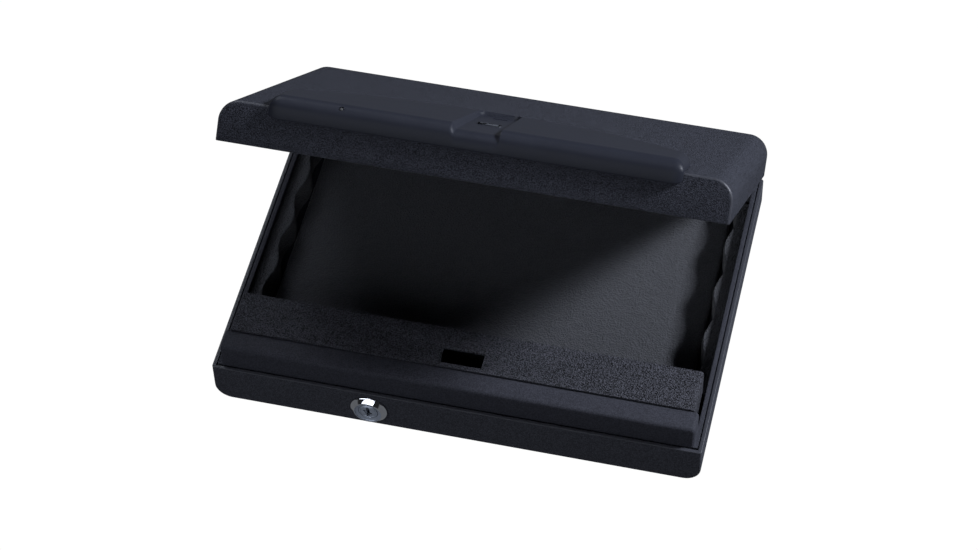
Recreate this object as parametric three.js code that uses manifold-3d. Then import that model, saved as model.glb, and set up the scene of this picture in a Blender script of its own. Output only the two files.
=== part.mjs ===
// Portable car safe: a two-piece steel clamshell with a key lock and a sliding latch bolt.
// Millimetres, +Z up, +X to the right, +Y to the back. The origin is the centre of the underside.
// The lid is built closed and then turned open about its hinge, as it stands in the photograph.
import * as THREE from "three";
import { mergeVertices } from "three/addons/utils/BufferGeometryUtils.js";
import Module from "manifold-3d";

const wasm = await Module();
wasm.setup();

// Overall body
const WIDTH = 280; // across the shells
const DEPTH = 202; // front plate to back plate
const BASE_HEIGHT = 27.2; // underside to the rim
const LID_HEIGHT = 23.4; // skirt edge to the top
const RIM_GAP = 0.4; // lid skirt above the base rim
const SHEET = 1.2; // 18 gauge steel
const HEM = 2.2; // doubled sheet along each open edge
const HEM_DEPTH = 5;
const BASE_CORNER = 10; // long edges of the underside
const LID_CORNER = 12; // long edges of the top
const FOLD = 1.6; // fold radius of the front and back plates
const LID_FOLD = 2.4;
const LID_OPEN = 41.5; // degrees open at rest
const CLEAR = 0.3; // between pieces that touch
const RUN = 0.5; // round pieces that move

// Inner frame
const FRAME_GAP = 0.5; // beside the hem of the base
const FRAME_RIM = 2.5; // width of the frame's own hem
const FRAME_FLANGE = 12; // foot along the floor, with the bend
const FRAME_FRONT_FLANGE = 4;
const RISER_SETBACK = 3.4; // riser face behind the front plate
const RISER_INSET = 2.1; // riser end inside the frame's side
const RISER_HEIGHT = 15.2; // above the rim
const RISER_BEND = 2.4;
const STRIP_DEPTH = 12.6; // smooth strip in front of the latch cover
const LEDGE = 1.9; // step that carries the latch cover

// Latch cover
const COVER_PLATE_DEPTH = 27;
const COVER_PLATE_INSET = 7.2; // end of the plate inside the shell's side
const COVER_PLATE_STEP = 1.2; // plate top above the strip
const COVER_PLATE_BEND = 2;
const COVER_FOOT = 9;
const SLOT_WIDTH = 23.6;
const SLOT_DEPTH = 10;
const SLOT_MARGIN = 12.6; // slot centre to the plate's front edge
const PLATE_SCREW_INSET = 50; // outer screw inside the shell's end

// Key lock
const LOCK_SHARE = 0.35; // lock left of the middle, as a share of the half width
const LOCK_Z = 14;
const BEZEL_RADIUS = 10.5;
const BEZEL_FACE_RADIUS = 7.7;
const BEZEL_HEIGHT = 3.9;
const BARREL_RADIUS = 9;
const BARREL_LENGTH = 17.4;
const PLUG_RADIUS = 5.5;
const PLUG_STUD_RADIUS = 3;
const KEYWAY_WIDTH = 1.6;
const KEYWAY_HEIGHT = 7.4;
const KEYWAY_DEPTH = 9;
const NUT_RADIUS = 12.7;
const NUT_THICKNESS = 4;
const CAM_ARM = 7; // centre to driving pin
const CAM_THICKNESS = 1.7;
const CAM_PIN_RADIUS = 1.5;
const CAM_START = 45; // degrees left of upright

// Latch bolt and its guide
const BOLT_THICKNESS = 2.8;
const BOLT_ARM_HEIGHT = 9;
const BOLT_NOSE_HEIGHT = 4;
const BOLT_NOSE_LENGTH = 8;
const BOLT_NOSE_BACK = 12.3; // nose end left of the middle, drawn back clear of the slot
const BOLT_ARM_TOP = 38.6;
const BOLT_ARM_OFFSET = 4; // upright of the bolt right of the lock's axis
const BOLT_TAIL_LENGTH = 29; // left of the lock's axis
const BOLT_TAIL_HEIGHT = 12;
const GUIDE_SCREW_RADIUS = 2;
const GUIDE_SCREW_HEAD = 3.6;
const GUIDE_SHEET = 1.2;
const GUIDE_FOOT = 9;
const UPPER_SCREW_OFFSET = 11.7; // left of the nose end
const LOWER_SCREW_OFFSET = 13; // left of the lock

// Solenoid and return spring
const SOLENOID_LENGTH = 26;
const SOLENOID_GAP = 8; // bolt end to the solenoid, drawn back
const COIL_RADIUS = 8.5;
const PLUNGER_RADIUS = 3.4;
const PLUNGER_LENGTH = 21;
const SPRING_WIRE = 0.45; // radius
const SPRING_RADIUS = 4.6;
const SPRING_TURNS = 4;

// Electronics
const CELL_RADIUS = 7.1;
const CELL_LENGTH = 50.5;
const TRAY_WALL = 1.8;
const BOARD_THICKNESS = 1.6;
const BOARD_GAP = 2.7; // board to the battery bay
const BOARD_MARGIN = 1; // board inside the tray's edges
const STANDOFF_HEIGHT = 4;
const TRAY_ROOM = 8.2; // tray to the right of the latch slot
const POST_RADIUS = 2;
const POST_MARGIN = 4;
const CHIP_SIZE = 12;
const RELAY_LENGTH = 15;
const RELAY_WIDTH = 10;
const RELAY_HEIGHT = 9;
const CAPACITOR_RADIUS = 4;
const CAPACITOR_HEIGHT = 10;

// Foam
const FLOOR_FOAM = 6;
const SIDE_FOAM = 9;
const REAR_FOAM = 9;
const FOAM_WAVE = 1.8;
const FOAM_PITCH = 35;
const LID_FOAM = 8;
const LID_FOAM_MARGIN = 9;

// Hinge
const KNUCKLE_RADIUS = 2.3;
const KNUCKLE_BORE = 1.5;
const PIN_RADIUS = 1.2;
const HINGE_MARGIN = 17; // hinge end inside the shell's end
const KNUCKLES = 9;
const LEAF = 1;
const LEAF_HEIGHT = 15.4;
const RIVET_RADIUS = 1.6;
const RIVET_HEAD = 2.9;
const RIVET_INSET = 24; // outer rivet inside the hinge's end

// Moulded lid cover
const COVER_INSET = 29; // cover end inside the lid's end
const COVER_PROUD = 3; // in front of the skirt
const COVER_HEIGHT = 6.6; // above the lid
const COVER_LIP = 8.2; // down the front of the skirt
const COVER_NOSE = 7; // rounding along the front
const COVER_WALL = 2.4;
const COVER_END = 9; // rounding of each end
const COVER_MID_DEPTH = 72; // front to back edge in the middle
const COVER_END_DEPTH = 32; // the same at the ends
const COVER_BOW = 2.4; // how late the back edge bows in towards the ends
const COVER_TAIL = 7; // run of the soft back edge
const BAY_X = -0.5; // middle of the finger bay
const BAY_WIDTH = 28.5;
const BAY_LENGTH = 66;
const BAY_DEPTH = 3.2;
const BAY_CORNER = 5;
const BAY_FLOOR_WALL = 1.6;
const SENSOR_WIDTH = 12.6;
const SENSOR_DEPTH = 4.4;
const SENSOR_SETBACK = 31;
const GUIDE_RIB_WIDTH = 8; // low rib behind the sensor that a fingertip feels
const GUIDE_RIB_SETBACK = 56;
const GUIDE_RIB_HEIGHT = 0.6;
const LAMP_INSET = 38; // lamp inside the cover's left end
const LAMP_RADIUS = 1.4;
const BOSS_RADIUS = 3.6;
const BOSS_INSET = 27; // outer screws inside the cover's ends
const BOSS_REAR_X = 40;

// Striker
const STRIKER_THICKNESS = 3;
const STRIKER_FOOT = 3;
const STRIKER_STEM = 6;
const STRIKER_ROOM = 1.8; // stem to the right end of the slot
const STRIKER_REACH = 13; // notch that the bolt enters
const STRIKER_SCREW_LEFT = 10;
const STRIKER_SCREW_RIGHT = 16;
const STRIKER_HEM = 5; // plate beyond each screw
const STRIKER_PLATE = 1.5;
const SCREW_RADIUS = 1.9;
const SCREW_HEAD = 3.6;
const SCREW_HEAD_HEIGHT = 1.6;

// Places that follow from the sizes
const HALF = WIDTH / 2;
const LOCK_X = -LOCK_SHARE * HALF;
const LOWER_SCREW_X = LOCK_X - LOWER_SCREW_OFFSET;
const UPPER_SCREW_X = -BOLT_NOSE_BACK - UPPER_SCREW_OFFSET;
const HINGE_LENGTH = WIDTH - 2 * HINGE_MARGIN;
const COVER_HALF = HALF - COVER_INSET;
const PLATE_SCREW_PITCH = HALF - PLATE_SCREW_INSET;
const RIVET_PITCH = (HINGE_LENGTH - 2 * RIVET_INSET) / 3;
const FRONT = -DEPTH / 2;
const BACK = DEPTH / 2;
const LID_BOTTOM = BASE_HEIGHT + RIM_GAP;
const LID_TOP = LID_BOTTOM + LID_HEIGHT;
const FRAME_HALF = HALF - HEM - FRAME_GAP;
const FRAME_BACK = BACK - HEM - FRAME_GAP;
const FRAME_BOTTOM = SHEET + CLEAR;
const FRAME_CORNER = BASE_CORNER - SHEET - CLEAR;
const RISER_FRONT = FRONT + RISER_SETBACK;
const RISER_HALF = FRAME_HALF - RISER_INSET;
const RISER_TOP = BASE_HEIGHT + RISER_HEIGHT;
const STRIP_BACK = RISER_FRONT + STRIP_DEPTH;
const PLATE_FRONT = STRIP_BACK + CLEAR;
const PLATE_BACK = PLATE_FRONT + COVER_PLATE_DEPTH;
const PLATE_HALF = HALF - COVER_PLATE_INSET;
const PLATE_TOP = RISER_TOP + COVER_PLATE_STEP;
const SLOT_Y = PLATE_FRONT + SLOT_MARGIN - COVER_PLATE_STEP * 4;
const HINGE_Y = BACK + KNUCKLE_RADIUS + CLEAR + 0.1;
const HINGE_Z = BASE_HEIGHT + RIM_GAP / 2;
const BOLT_BACK = SLOT_Y + BOLT_THICKNESS / 2;
const BOLT_FRONT = SLOT_Y - BOLT_THICKNESS / 2;
const CAM_BACK = BOLT_FRONT - 3.3;
const CAM_FRONT = CAM_BACK - CAM_THICKNESS;
const BARREL_BACK = CAM_FRONT - CLEAR;
const FLOOR_TOP = SHEET + CLEAR;
const FRAME_INNER = FRAME_HALF - SHEET;
const ARM_BOTTOM = BOLT_ARM_TOP - BOLT_ARM_HEIGHT;
const CAM_REACH = CAM_ARM * Math.sin((CAM_START * Math.PI) / 180);
const BOLT_TRAVEL = 2 * CAM_REACH;
const TAIL_MIDDLE = LOCK_Z + CAM_ARM - CLEAR;
const TAIL_LEFT = LOCK_X - BOLT_TAIL_LENGTH;

// Solids

function solidOf(geometry) {
  geometry.deleteAttribute("normal");
  geometry.deleteAttribute("uv");
  const merged = mergeVertices(geometry, 1e-4);
  return new wasm.Manifold(
    new wasm.Mesh({
      numProp: 3,
      vertProperties: new Float32Array(merged.attributes.position.array),
      triVerts: new Uint32Array(merged.index.array),
    }),
  );
}

function block(x0, x1, y0, y1, z0, z1) {
  const g = new THREE.BoxGeometry(x1 - x0, y1 - y0, z1 - z0);
  g.translate((x0 + x1) / 2, (y0 + y1) / 2, (z0 + z1) / 2);
  return solidOf(g);
}

// A turned piece: [radius, height] pairs about an axis that starts at `at` and runs along `axis`.
function turned(pairs, at, axis, sides = 24, spin = 0) {
  const profile = pairs.map(([r, h]) => new THREE.Vector2(r, h));
  const g = new THREE.LatheGeometry(profile, sides, spin);
  const turn = new THREE.Quaternion().setFromUnitVectors(
    new THREE.Vector3(0, 1, 0),
    new THREE.Vector3(...axis).normalize(),
  );
  g.applyQuaternion(turn);
  g.translate(...at);
  return solidOf(g);
}

function rod(radius, at, axis, length, sides = 20, spin = 0) {
  return turned([[0, 0], [radius, 0], [radius, length], [0, length]], at, axis, sides, spin);
}

// A skin through rings of equal length, closed by a flat face at each end.
function loft(rings) {
  const count = rings[0].length;
  const positions = rings.flat().flatMap((p) => [p.x, p.y, p.z]);
  const index = [];
  for (let r = 0; r + 1 < rings.length; r++)
    for (let i = 0; i < count; i++) {
      const a = r * count + i;
      const b = r * count + ((i + 1) % count);
      index.push(a, b, b + count, a, b + count, a + count);
    }
  index.push(...capOf(rings[0], 0, true));
  index.push(...capOf(rings[rings.length - 1], (rings.length - 1) * count, false));
  const g = new THREE.BufferGeometry();
  g.setAttribute("position", new THREE.Float32BufferAttribute(positions, 3));
  g.setIndex(signedVolume(rings.flat(), index) < 0 ? index.reverse() : index);
  return solidOf(g);
}

// The triangles that fill a flat ring, along its own direction or against it.
function capOf(ring, start, against) {
  const spread = (k) => Math.max(...ring.map((p) => p[k])) - Math.min(...ring.map((p) => p[k]));
  const [u, v] = ["x", "y", "z"].sort((m, n) => spread(n) - spread(m));
  const flat = ring.map((p) => new THREE.Vector2(p[u], p[v]));
  const faces = THREE.ShapeUtils.triangulateShape(flat, []);
  const filled = faces.reduce((sum, face) => sum + THREE.ShapeUtils.area(face.map((i) => flat[i])), 0);
  const follows = filled * THREE.ShapeUtils.area(flat) > 0;
  return faces.flatMap(([a, b, c]) =>
    follows !== against ? [start + a, start + b, start + c] : [start + a, start + c, start + b],
  );
}

function signedVolume(points, index) {
  let volume = 0;
  for (let i = 0; i < index.length; i += 3) {
    const [a, b, c] = [points[index[i]], points[index[i + 1]], points[index[i + 2]]];
    volume += a.dot(new THREE.Vector3().crossVectors(b, c)) / 6;
  }
  return volume;
}

function arc(cx, cy, r, from, to, steps) {
  const out = [];
  for (let i = 0; i <= steps; i++) {
    const a = ((from + ((to - from) * i) / steps) * Math.PI) / 180;
    out.push([cx + r * Math.cos(a), cy + r * Math.sin(a)]);
  }
  return out;
}

// An outline of [x, z] pairs swept along Y from y0 to y1.
function sweepY(outline, y0, y1) {
  return loft([y0, y1].map((y) => outline.map(([x, z]) => new THREE.Vector3(x, y, z))));
}

// An outline of [y, z] pairs swept along X.
function sweepX(outline, x0, x1) {
  return loft([x0, x1].map((x) => outline.map(([y, z]) => new THREE.Vector3(x, y, z))));
}

// An outline of [x, y] pairs raised from z0 to z1.
function sweepZ(outline, z0, z1) {
  return loft([z0, z1].map((z) => outline.map(([x, y]) => new THREE.Vector3(x, y, z))));
}

function join(first, ...rest) {
  return rest.reduce((a, b) => a.add(b), first);
}

function cut(first, ...rest) {
  return rest.reduce((a, b) => a.subtract(b), first);
}

// A tray outline open at one side: the far side has two round corners.
function trayOutline(half, open, closed, radius) {
  const up = Math.sign(closed - open);
  const right = arc(half - radius, closed - up * radius, radius, 0, up * 90, 7);
  const left = arc(radius - half, closed - up * radius, radius, up * 90, up * 180, 7);
  return [[half, open], ...right, ...left, [-half, open]];
}

// A folded tray: the front and back edges of its closed side roll over with the fold radius.
function trayBlock(half, front, back, open, closed, radius, fold) {
  const up = Math.sign(closed - open);
  const ring = (y, inset) =>
    trayOutline(half - inset, open, closed - up * inset, radius - inset)
      .map(([x, z]) => new THREE.Vector3(x, y, z));
  const near = foldSteps(fold).map(([run, inset]) => ring(front + run, inset));
  const far = foldSteps(fold).map(([run, inset]) => ring(back - run, inset));
  return loft([...near, ...far.reverse()]);
}

// A quarter round of a fold, from its end face inwards: [distance from the end, inset] pairs.
function foldSteps(radius) {
  return [3, 2, 1, 0].map((i) => {
    const a = (i * Math.PI) / 6;
    return [radius * (1 - Math.sin(a)), radius * (1 - Math.cos(a))];
  });
}

// Pieces

const STEEL = { color: 0x1b1b1f, roughness: 0.55, metalness: 0.35 };
const PLATE = { color: 0x1d1d20, roughness: 0.8, metalness: 0.25 };
const PLASTIC = { color: 0x23262e, roughness: 0.5, metalness: 0 };
const FOAM = { color: 0x0d0d0e, roughness: 1, metalness: 0 };
const ZINC = { color: 0xa9adb2, roughness: 0.35, metalness: 0.9 };
const CHROME = { color: 0xd9dce0, roughness: 0.15, metalness: 1 };

const safe = new THREE.Group();
const lid = new THREE.Group();
const lidTurn = new THREE.Group();
lid.position.set(0, -HINGE_Y, -HINGE_Z);
lidTurn.position.set(0, HINGE_Y, HINGE_Z);
lidTurn.rotation.x = (-LID_OPEN * Math.PI) / 180;
lidTurn.add(lid);
safe.add(lidTurn);

function piece(name, solid, look, group = safe) {
  const made = solid.getMesh();
  const g = new THREE.BufferGeometry();
  g.setAttribute("position", new THREE.Float32BufferAttribute(made.vertProperties, 3));
  g.setIndex(Array.from(made.triVerts));
  const shaded = g.toNonIndexed();
  shaded.computeVertexNormals();
  const mesh = new THREE.Mesh(shaded, new THREE.MeshStandardMaterial(look));
  mesh.name = name;
  group.add(mesh);
}

// Base shell: a folded tray whose rim is doubled by a hem.
const lockHole = rod(BARREL_RADIUS + CLEAR, [LOCK_X, FRONT - 1, LOCK_Z], [0, 1, 0], 12, 32);
const plateScrewX = [-PLATE_SCREW_PITCH, 0, PLATE_SCREW_PITCH];
const footY = PLATE_BACK + COVER_FOOT / 2;
const rivetX = [-1.5, -0.5, 0.5, 1.5].map((k) => k * RIVET_PITCH);
const baseRivetZ = HINGE_Z - LEAF_HEIGHT + 6;
const lidRivetZ = HINGE_Z + LEAF_HEIGHT - 6;

function rivetHole(x, z) {
  return rod(RIVET_RADIUS + CLEAR, [x, BACK - 6, z], [0, 1, 0], 12, 16);
}

const baseShell = cut(
  trayBlock(HALF, FRONT, BACK, BASE_HEIGHT, 0, BASE_CORNER, FOLD),
  sweepY(
    trayOutline(HALF - SHEET, BASE_HEIGHT - HEM_DEPTH, SHEET, BASE_CORNER - SHEET),
    FRONT + SHEET,
    BACK - SHEET,
  ),
  block(HEM - HALF, HALF - HEM, FRONT + HEM, BACK - HEM, BASE_HEIGHT / 2, BASE_HEIGHT + 1),
  lockHole,
  ...plateScrewX.map((x) => rod(SCREW_RADIUS + CLEAR, [x, footY, -1], [0, 0, 1], SHEET + 2, 16)),
  ...rivetX.map((x) => rivetHole(x, baseRivetZ)),
);
piece("base_shell", baseShell, STEEL);

// Inner frame: walls with a hem flush with the rim, and a riser that houses the latch in front.
function riserOutline(inset, wall) {
  const top = RISER_TOP - inset - wall;
  const front = RISER_FRONT + inset + wall;
  const bend = Math.max(RISER_BEND - wall, 0.4);
  return [
    [STRIP_BACK + (wall ? 1 : 0), BASE_HEIGHT / 2],
    [front, BASE_HEIGHT / 2],
    ...arc(front + bend, top - bend, bend, 180, 90, 5),
    [STRIP_BACK + (wall ? 1 : 0), top],
  ];
}

function riserBlock() {
  const ring = (x, inset) => riserOutline(inset, 0).map(([y, z]) => new THREE.Vector3(x, y, z));
  const left = foldSteps(RISER_BEND).map(([run, inset]) => ring(run - RISER_HALF, inset));
  const right = foldSteps(RISER_BEND).map(([run, inset]) => ring(RISER_HALF - run, inset));
  return loft([...left, ...right.reverse()]);
}

// The space inside the frame's walls, less a clearance.
function frameSpace(clear, top, front, back) {
  return sweepY(
    trayOutline(
      FRAME_INNER - clear, top, FRAME_BOTTOM + SHEET + clear, FRAME_CORNER - SHEET - clear,
    ),
    front, back,
  );
}

// Height of the frame's inner face at a distance from the middle, where its corner bends up.
function frameFloor(x) {
  const bend = FRAME_CORNER - SHEET;
  const past = Math.max(0, Math.abs(x) - (FRAME_INNER - bend));
  return FRAME_BOTTOM + SHEET + bend - Math.sqrt(Math.max(0, bend * bend - past * past));
}

const frameInside = FRAME_HALF - FRAME_RIM;
const innerFrame = cut(
  join(
    cut(
      sweepY(
        trayOutline(FRAME_HALF, BASE_HEIGHT, FRAME_BOTTOM, FRAME_CORNER), RISER_FRONT, FRAME_BACK,
      ),
      frameSpace(0, BASE_HEIGHT - HEM_DEPTH, RISER_FRONT + SHEET, FRAME_BACK - SHEET),
      block(
        -frameInside, frameInside, RISER_FRONT + SHEET, FRAME_BACK - FRAME_RIM,
        BASE_HEIGHT / 2, BASE_HEIGHT + 1,
      ),
    ),
    cut(
      riserBlock(),
      sweepX(riserOutline(0, SHEET), SHEET - RISER_HALF, RISER_HALF - SHEET),
      block(
        SHEET - RISER_HALF, RISER_HALF - SHEET, RISER_FRONT + SHEET, STRIP_BACK + 1,
        BASE_HEIGHT / 2 - 1, BASE_HEIGHT + 2,
      ),
    ),
    block(
      CLEAR + COVER_PLATE_BEND - PLATE_HALF, PLATE_HALF - COVER_PLATE_BEND - CLEAR,
      STRIP_BACK - 2, STRIP_BACK + LEDGE,
      RISER_TOP - SHEET - CLEAR, RISER_TOP - CLEAR,
    ),
  ),
  block(
    FRAME_FLANGE - FRAME_INNER, FRAME_INNER - FRAME_FLANGE,
    RISER_FRONT + SHEET + FRAME_FRONT_FLANGE, FRAME_BACK - SHEET - FRAME_FLANGE,
    0, FRAME_BOTTOM + SHEET + 1,
  ),
  lockHole,
);
piece("inner_frame", innerFrame, STEEL);

// Latch cover: a bent plate over the latch, with closed ends, a back wall and a screwed foot.
const plateBottom = frameFloor(PLATE_HALF) + CLEAR;
const flangeTop = FRAME_BOTTOM + SHEET + CLEAR;
const footHalf = FRAME_INNER - FRAME_FLANGE - CLEAR;

function plateOutline(half, top, bend, bottom) {
  return [
    [half, bottom],
    ...arc(half - bend, top - bend, bend, 0, 90, 4),
    ...arc(bend - half, top - bend, bend, 90, 180, 4),
    [-half, bottom],
  ];
}

const latchCover = cut(
  join(
    sweepY(
      plateOutline(PLATE_HALF, PLATE_TOP, COVER_PLATE_BEND, plateBottom), PLATE_FRONT, PLATE_BACK,
    ),
    block(
      -footHalf, footHalf, PLATE_BACK - SHEET, PLATE_BACK + COVER_FOOT, FLOOR_TOP, FLOOR_TOP + SHEET,
    ),
    block(-footHalf, footHalf, PLATE_BACK - SHEET, PLATE_BACK, FLOOR_TOP, plateBottom + 1),
  ),
  sweepY(
    plateOutline(
      PLATE_HALF - SHEET, PLATE_TOP - SHEET, COVER_PLATE_BEND - SHEET, plateBottom - 1,
    ),
    PLATE_FRONT - 1,
    PLATE_BACK - SHEET,
  ),
  block(
    -SLOT_WIDTH / 2, SLOT_WIDTH / 2, SLOT_Y - SLOT_DEPTH / 2, SLOT_Y + SLOT_DEPTH / 2,
    PLATE_TOP - 4, PLATE_TOP + 1,
  ),
  ...plateScrewX.map((x) => rod(SCREW_RADIUS + CLEAR, [x, footY, 0], [0, 0, 1], 6, 16)),
);
piece("latch_cover", latchCover, PLATE);

// A pan-head screw: the shank runs from `at` along the axis and the head follows it.
function screw(at, axis, length, radius = SCREW_RADIUS, head = SCREW_HEAD) {
  return turned(
    [
      [0, 0], [radius * 0.7, 0], [radius, 0.5], [radius, length], [head, length],
      [head, length + SCREW_HEAD_HEIGHT * 0.55], [head * 0.6, length + SCREW_HEAD_HEIGHT],
      [0, length + SCREW_HEAD_HEIGHT],
    ],
    at, axis, 12,
  );
}

plateScrewX.forEach((x, i) => {
  const length = FLOOR_TOP + SHEET + CLEAR - 0.3;
  piece("latch_cover_screw_" + (i + 1), screw([x, footY, 0.3], [0, 0, 1], length), ZINC);
});

// Foam lining of the base. The side pads have a waved face towards the contents.
const foamTop = BASE_HEIGHT - HEM_DEPTH - CLEAR;
const sideFoamFace = FRAME_INNER - CLEAR - SIDE_FOAM;
const floorHalf = sideFoamFace - FOAM_WAVE - CLEAR;
const rearFoamFront = FRAME_BACK - SHEET - CLEAR - REAR_FOAM;
const foamFront = PLATE_BACK + CLEAR;
const headRoom = FLOOR_TOP + SHEET + SCREW_HEAD_HEIGHT + 3 * CLEAR;
piece(
  "floor_foam",
  cut(
    block(
      -floorHalf, floorHalf, foamFront, rearFoamFront - FOAM_WAVE - CLEAR,
      FLOOR_TOP, FLOOR_TOP + FLOOR_FOAM,
    ),
    block(-HALF, HALF, foamFront - 1, PLATE_BACK + COVER_FOOT + CLEAR, 0, headRoom),
    block(footHalf, HALF, foamFront - 1, BACK, 0, flangeTop),
    block(-HALF, -footHalf, foamFront - 1, BACK, 0, flangeTop),
    block(-HALF, HALF, FRAME_BACK - SHEET - FRAME_FLANGE - CLEAR, BACK, 0, flangeTop),
  ),
  FOAM,
);

function waved(along, length) {
  return Math.cos((2 * Math.PI * along) / FOAM_PITCH) * FOAM_WAVE * Math.min(1, length / FOAM_PITCH);
}

function sidePad(side) {
  const outline = [];
  const wall = FRAME_INNER - CLEAR;
  const from = foamFront;
  const to = rearFoamFront - FOAM_WAVE - CLEAR;
  const steps = Math.round((to - from) / (FOAM_PITCH / 8));
  for (let i = 0; i <= steps; i++) {
    const y = from + ((to - from) * i) / steps;
    outline.push([side * (sideFoamFace + waved(y, to - from)), y]);
  }
  outline.push([side * wall, to], [side * wall, from]);
  const pad = sweepZ(outline, flangeTop, foamTop);
  return pad.intersect(frameSpace(CLEAR, BASE_HEIGHT, FRONT, BACK));
}

piece("left_foam", sidePad(-1), FOAM);
piece("right_foam", sidePad(1), FOAM);

function rearPad() {
  const outline = [];
  const half = FRAME_INNER - CLEAR;
  const steps = Math.round((2 * half) / (FOAM_PITCH / 8));
  for (let i = 0; i <= steps; i++) {
    const x = -half + (2 * half * i) / steps;
    outline.push([x, rearFoamFront + waved(x, 2 * half)]);
  }
  outline.push([half, FRAME_BACK - SHEET - CLEAR], [-half, FRAME_BACK - SHEET - CLEAR]);
  const pad = sweepZ(outline, flangeTop, foamTop);
  return pad.intersect(frameSpace(CLEAR, BASE_HEIGHT, FRONT, BACK));
}

piece("rear_foam", rearPad(), FOAM);

// Key lock: a bezel and barrel, its nut, and the plug that turns in it.
const bezelSeat = FRONT - CLEAR;
const lockBody = cut(
  turned(
    [
      [0, 0], [BEZEL_FACE_RADIUS - 0.5, 0], [BEZEL_FACE_RADIUS, 0.4],
      [BEZEL_RADIUS - 0.4, BEZEL_HEIGHT - 1.1], [BEZEL_RADIUS, BEZEL_HEIGHT - 0.7],
      [BEZEL_RADIUS, BEZEL_HEIGHT], [BARREL_RADIUS, BEZEL_HEIGHT],
      [BARREL_RADIUS, BEZEL_HEIGHT + BARREL_LENGTH - 0.8],
      [BARREL_RADIUS - 0.8, BEZEL_HEIGHT + BARREL_LENGTH], [0, BEZEL_HEIGHT + BARREL_LENGTH],
    ],
    [LOCK_X, bezelSeat - BEZEL_HEIGHT, LOCK_Z], [0, 1, 0], 36,
  ),
  rod(PLUG_RADIUS + CLEAR, [LOCK_X, bezelSeat - BEZEL_HEIGHT - 1, LOCK_Z], [0, 1, 0], 60, 28),
);
piece("lock_body", lockBody, CHROME);

const nutFront = RISER_FRONT + SHEET + CLEAR;
const lockNut = cut(
  rod(NUT_RADIUS, [LOCK_X, nutFront, LOCK_Z], [0, 1, 0], NUT_THICKNESS, 6, Math.PI / 6),
  rod(BARREL_RADIUS + CLEAR, [LOCK_X, nutFront - 1, LOCK_Z], [0, 1, 0], NUT_THICKNESS + 2, 24),
);
piece("lock_nut", lockNut, ZINC);

const plugFace = bezelSeat - BEZEL_HEIGHT + 0.4;
const plugEnd = BARREL_BACK;
const keyway = join(
  block(
    LOCK_X - KEYWAY_WIDTH / 2, LOCK_X + KEYWAY_WIDTH / 2, plugFace - 1, plugFace + KEYWAY_DEPTH,
    LOCK_Z - KEYWAY_HEIGHT / 2, LOCK_Z + KEYWAY_HEIGHT / 2,
  ),
  block(
    LOCK_X - KEYWAY_WIDTH, LOCK_X + KEYWAY_WIDTH, plugFace - 1, plugFace + KEYWAY_DEPTH,
    LOCK_Z - KEYWAY_HEIGHT / 5, LOCK_Z + KEYWAY_HEIGHT / 5,
  ),
);
const keyPlug = cut(
  turned(
    [
      [0, 0], [PLUG_RADIUS - 0.4, 0], [PLUG_RADIUS, 0.4], [PLUG_RADIUS, plugEnd - plugFace],
      [PLUG_STUD_RADIUS, plugEnd - plugFace], [PLUG_STUD_RADIUS, CAM_BACK - plugFace],
      [0, CAM_BACK - plugFace],
    ],
    [LOCK_X, plugFace, LOCK_Z], [0, 1, 0], 28,
  ),
  keyway,
  rod(1.6, [LOCK_X, CAM_BACK - 7, LOCK_Z], [0, 1, 0], 8, 12),
);
piece("key_plug", keyPlug, ZINC);

const camTurn = (CAM_START * Math.PI) / 180;
const pinX = LOCK_X - CAM_ARM * Math.sin(camTurn);
const pinZ = LOCK_Z + CAM_ARM * Math.cos(camTurn);
const camWide = PLUG_STUD_RADIUS + 2.4;
const lockCam = cut(
  join(
    rod(camWide, [LOCK_X, CAM_FRONT, LOCK_Z], [0, 1, 0], CAM_THICKNESS, 24),
    rod(CAM_PIN_RADIUS + 1.2, [pinX, CAM_FRONT, pinZ], [0, 1, 0], CAM_THICKNESS, 20),
    solidOf(
      new THREE.BoxGeometry(2 * CAM_PIN_RADIUS + 2.4, CAM_THICKNESS, CAM_ARM)
        .translate(0, CAM_THICKNESS / 2, CAM_ARM / 2)
        .rotateY(-camTurn)
        .translate(LOCK_X, CAM_FRONT, LOCK_Z),
    ),
    rod(CAM_PIN_RADIUS, [pinX, CAM_FRONT, pinZ], [0, 1, 0], BOLT_BACK + 0.3 - CAM_FRONT, 16),
  ),
  rod(PLUG_STUD_RADIUS + CLEAR, [LOCK_X, CAM_FRONT - 1, LOCK_Z], [0, 1, 0], CAM_THICKNESS + 2, 20),
);
piece("lock_cam", lockCam, ZINC);
piece("cam_screw", screw([LOCK_X, CAM_BACK - 6, LOCK_Z], [0, 1, 0], 6 + CLEAR, 1.3, 4), ZINC);

// Latch bolt: a flat slide with two guide slots, a slot for the cam pin and a nose for the striker.
const armLeft = LOCK_X + BOLT_ARM_OFFSET;
const noseEnd = -BOLT_NOSE_BACK;
const tailBottom = TAIL_MIDDLE - BOLT_TAIL_HEIGHT / 2;
const tailTop = TAIL_MIDDLE + BOLT_TAIL_HEIGHT / 2;
const upperScrewZ = ARM_BOTTOM + BOLT_ARM_HEIGHT / 2;
const lowerScrewZ = TAIL_MIDDLE - 0.6;

function guideSlot(x, z) {
  const r = GUIDE_SCREW_RADIUS + CLEAR;
  return join(
    block(x - BOLT_TRAVEL, x, BOLT_FRONT - 1, BOLT_BACK + 1, z - r, z + r),
    rod(r, [x, BOLT_FRONT - 1, z], [0, 1, 0], BOLT_THICKNESS + 2, 16),
    rod(r, [x - BOLT_TRAVEL, BOLT_FRONT - 1, z], [0, 1, 0], BOLT_THICKNESS + 2, 16),
  );
}

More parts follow.
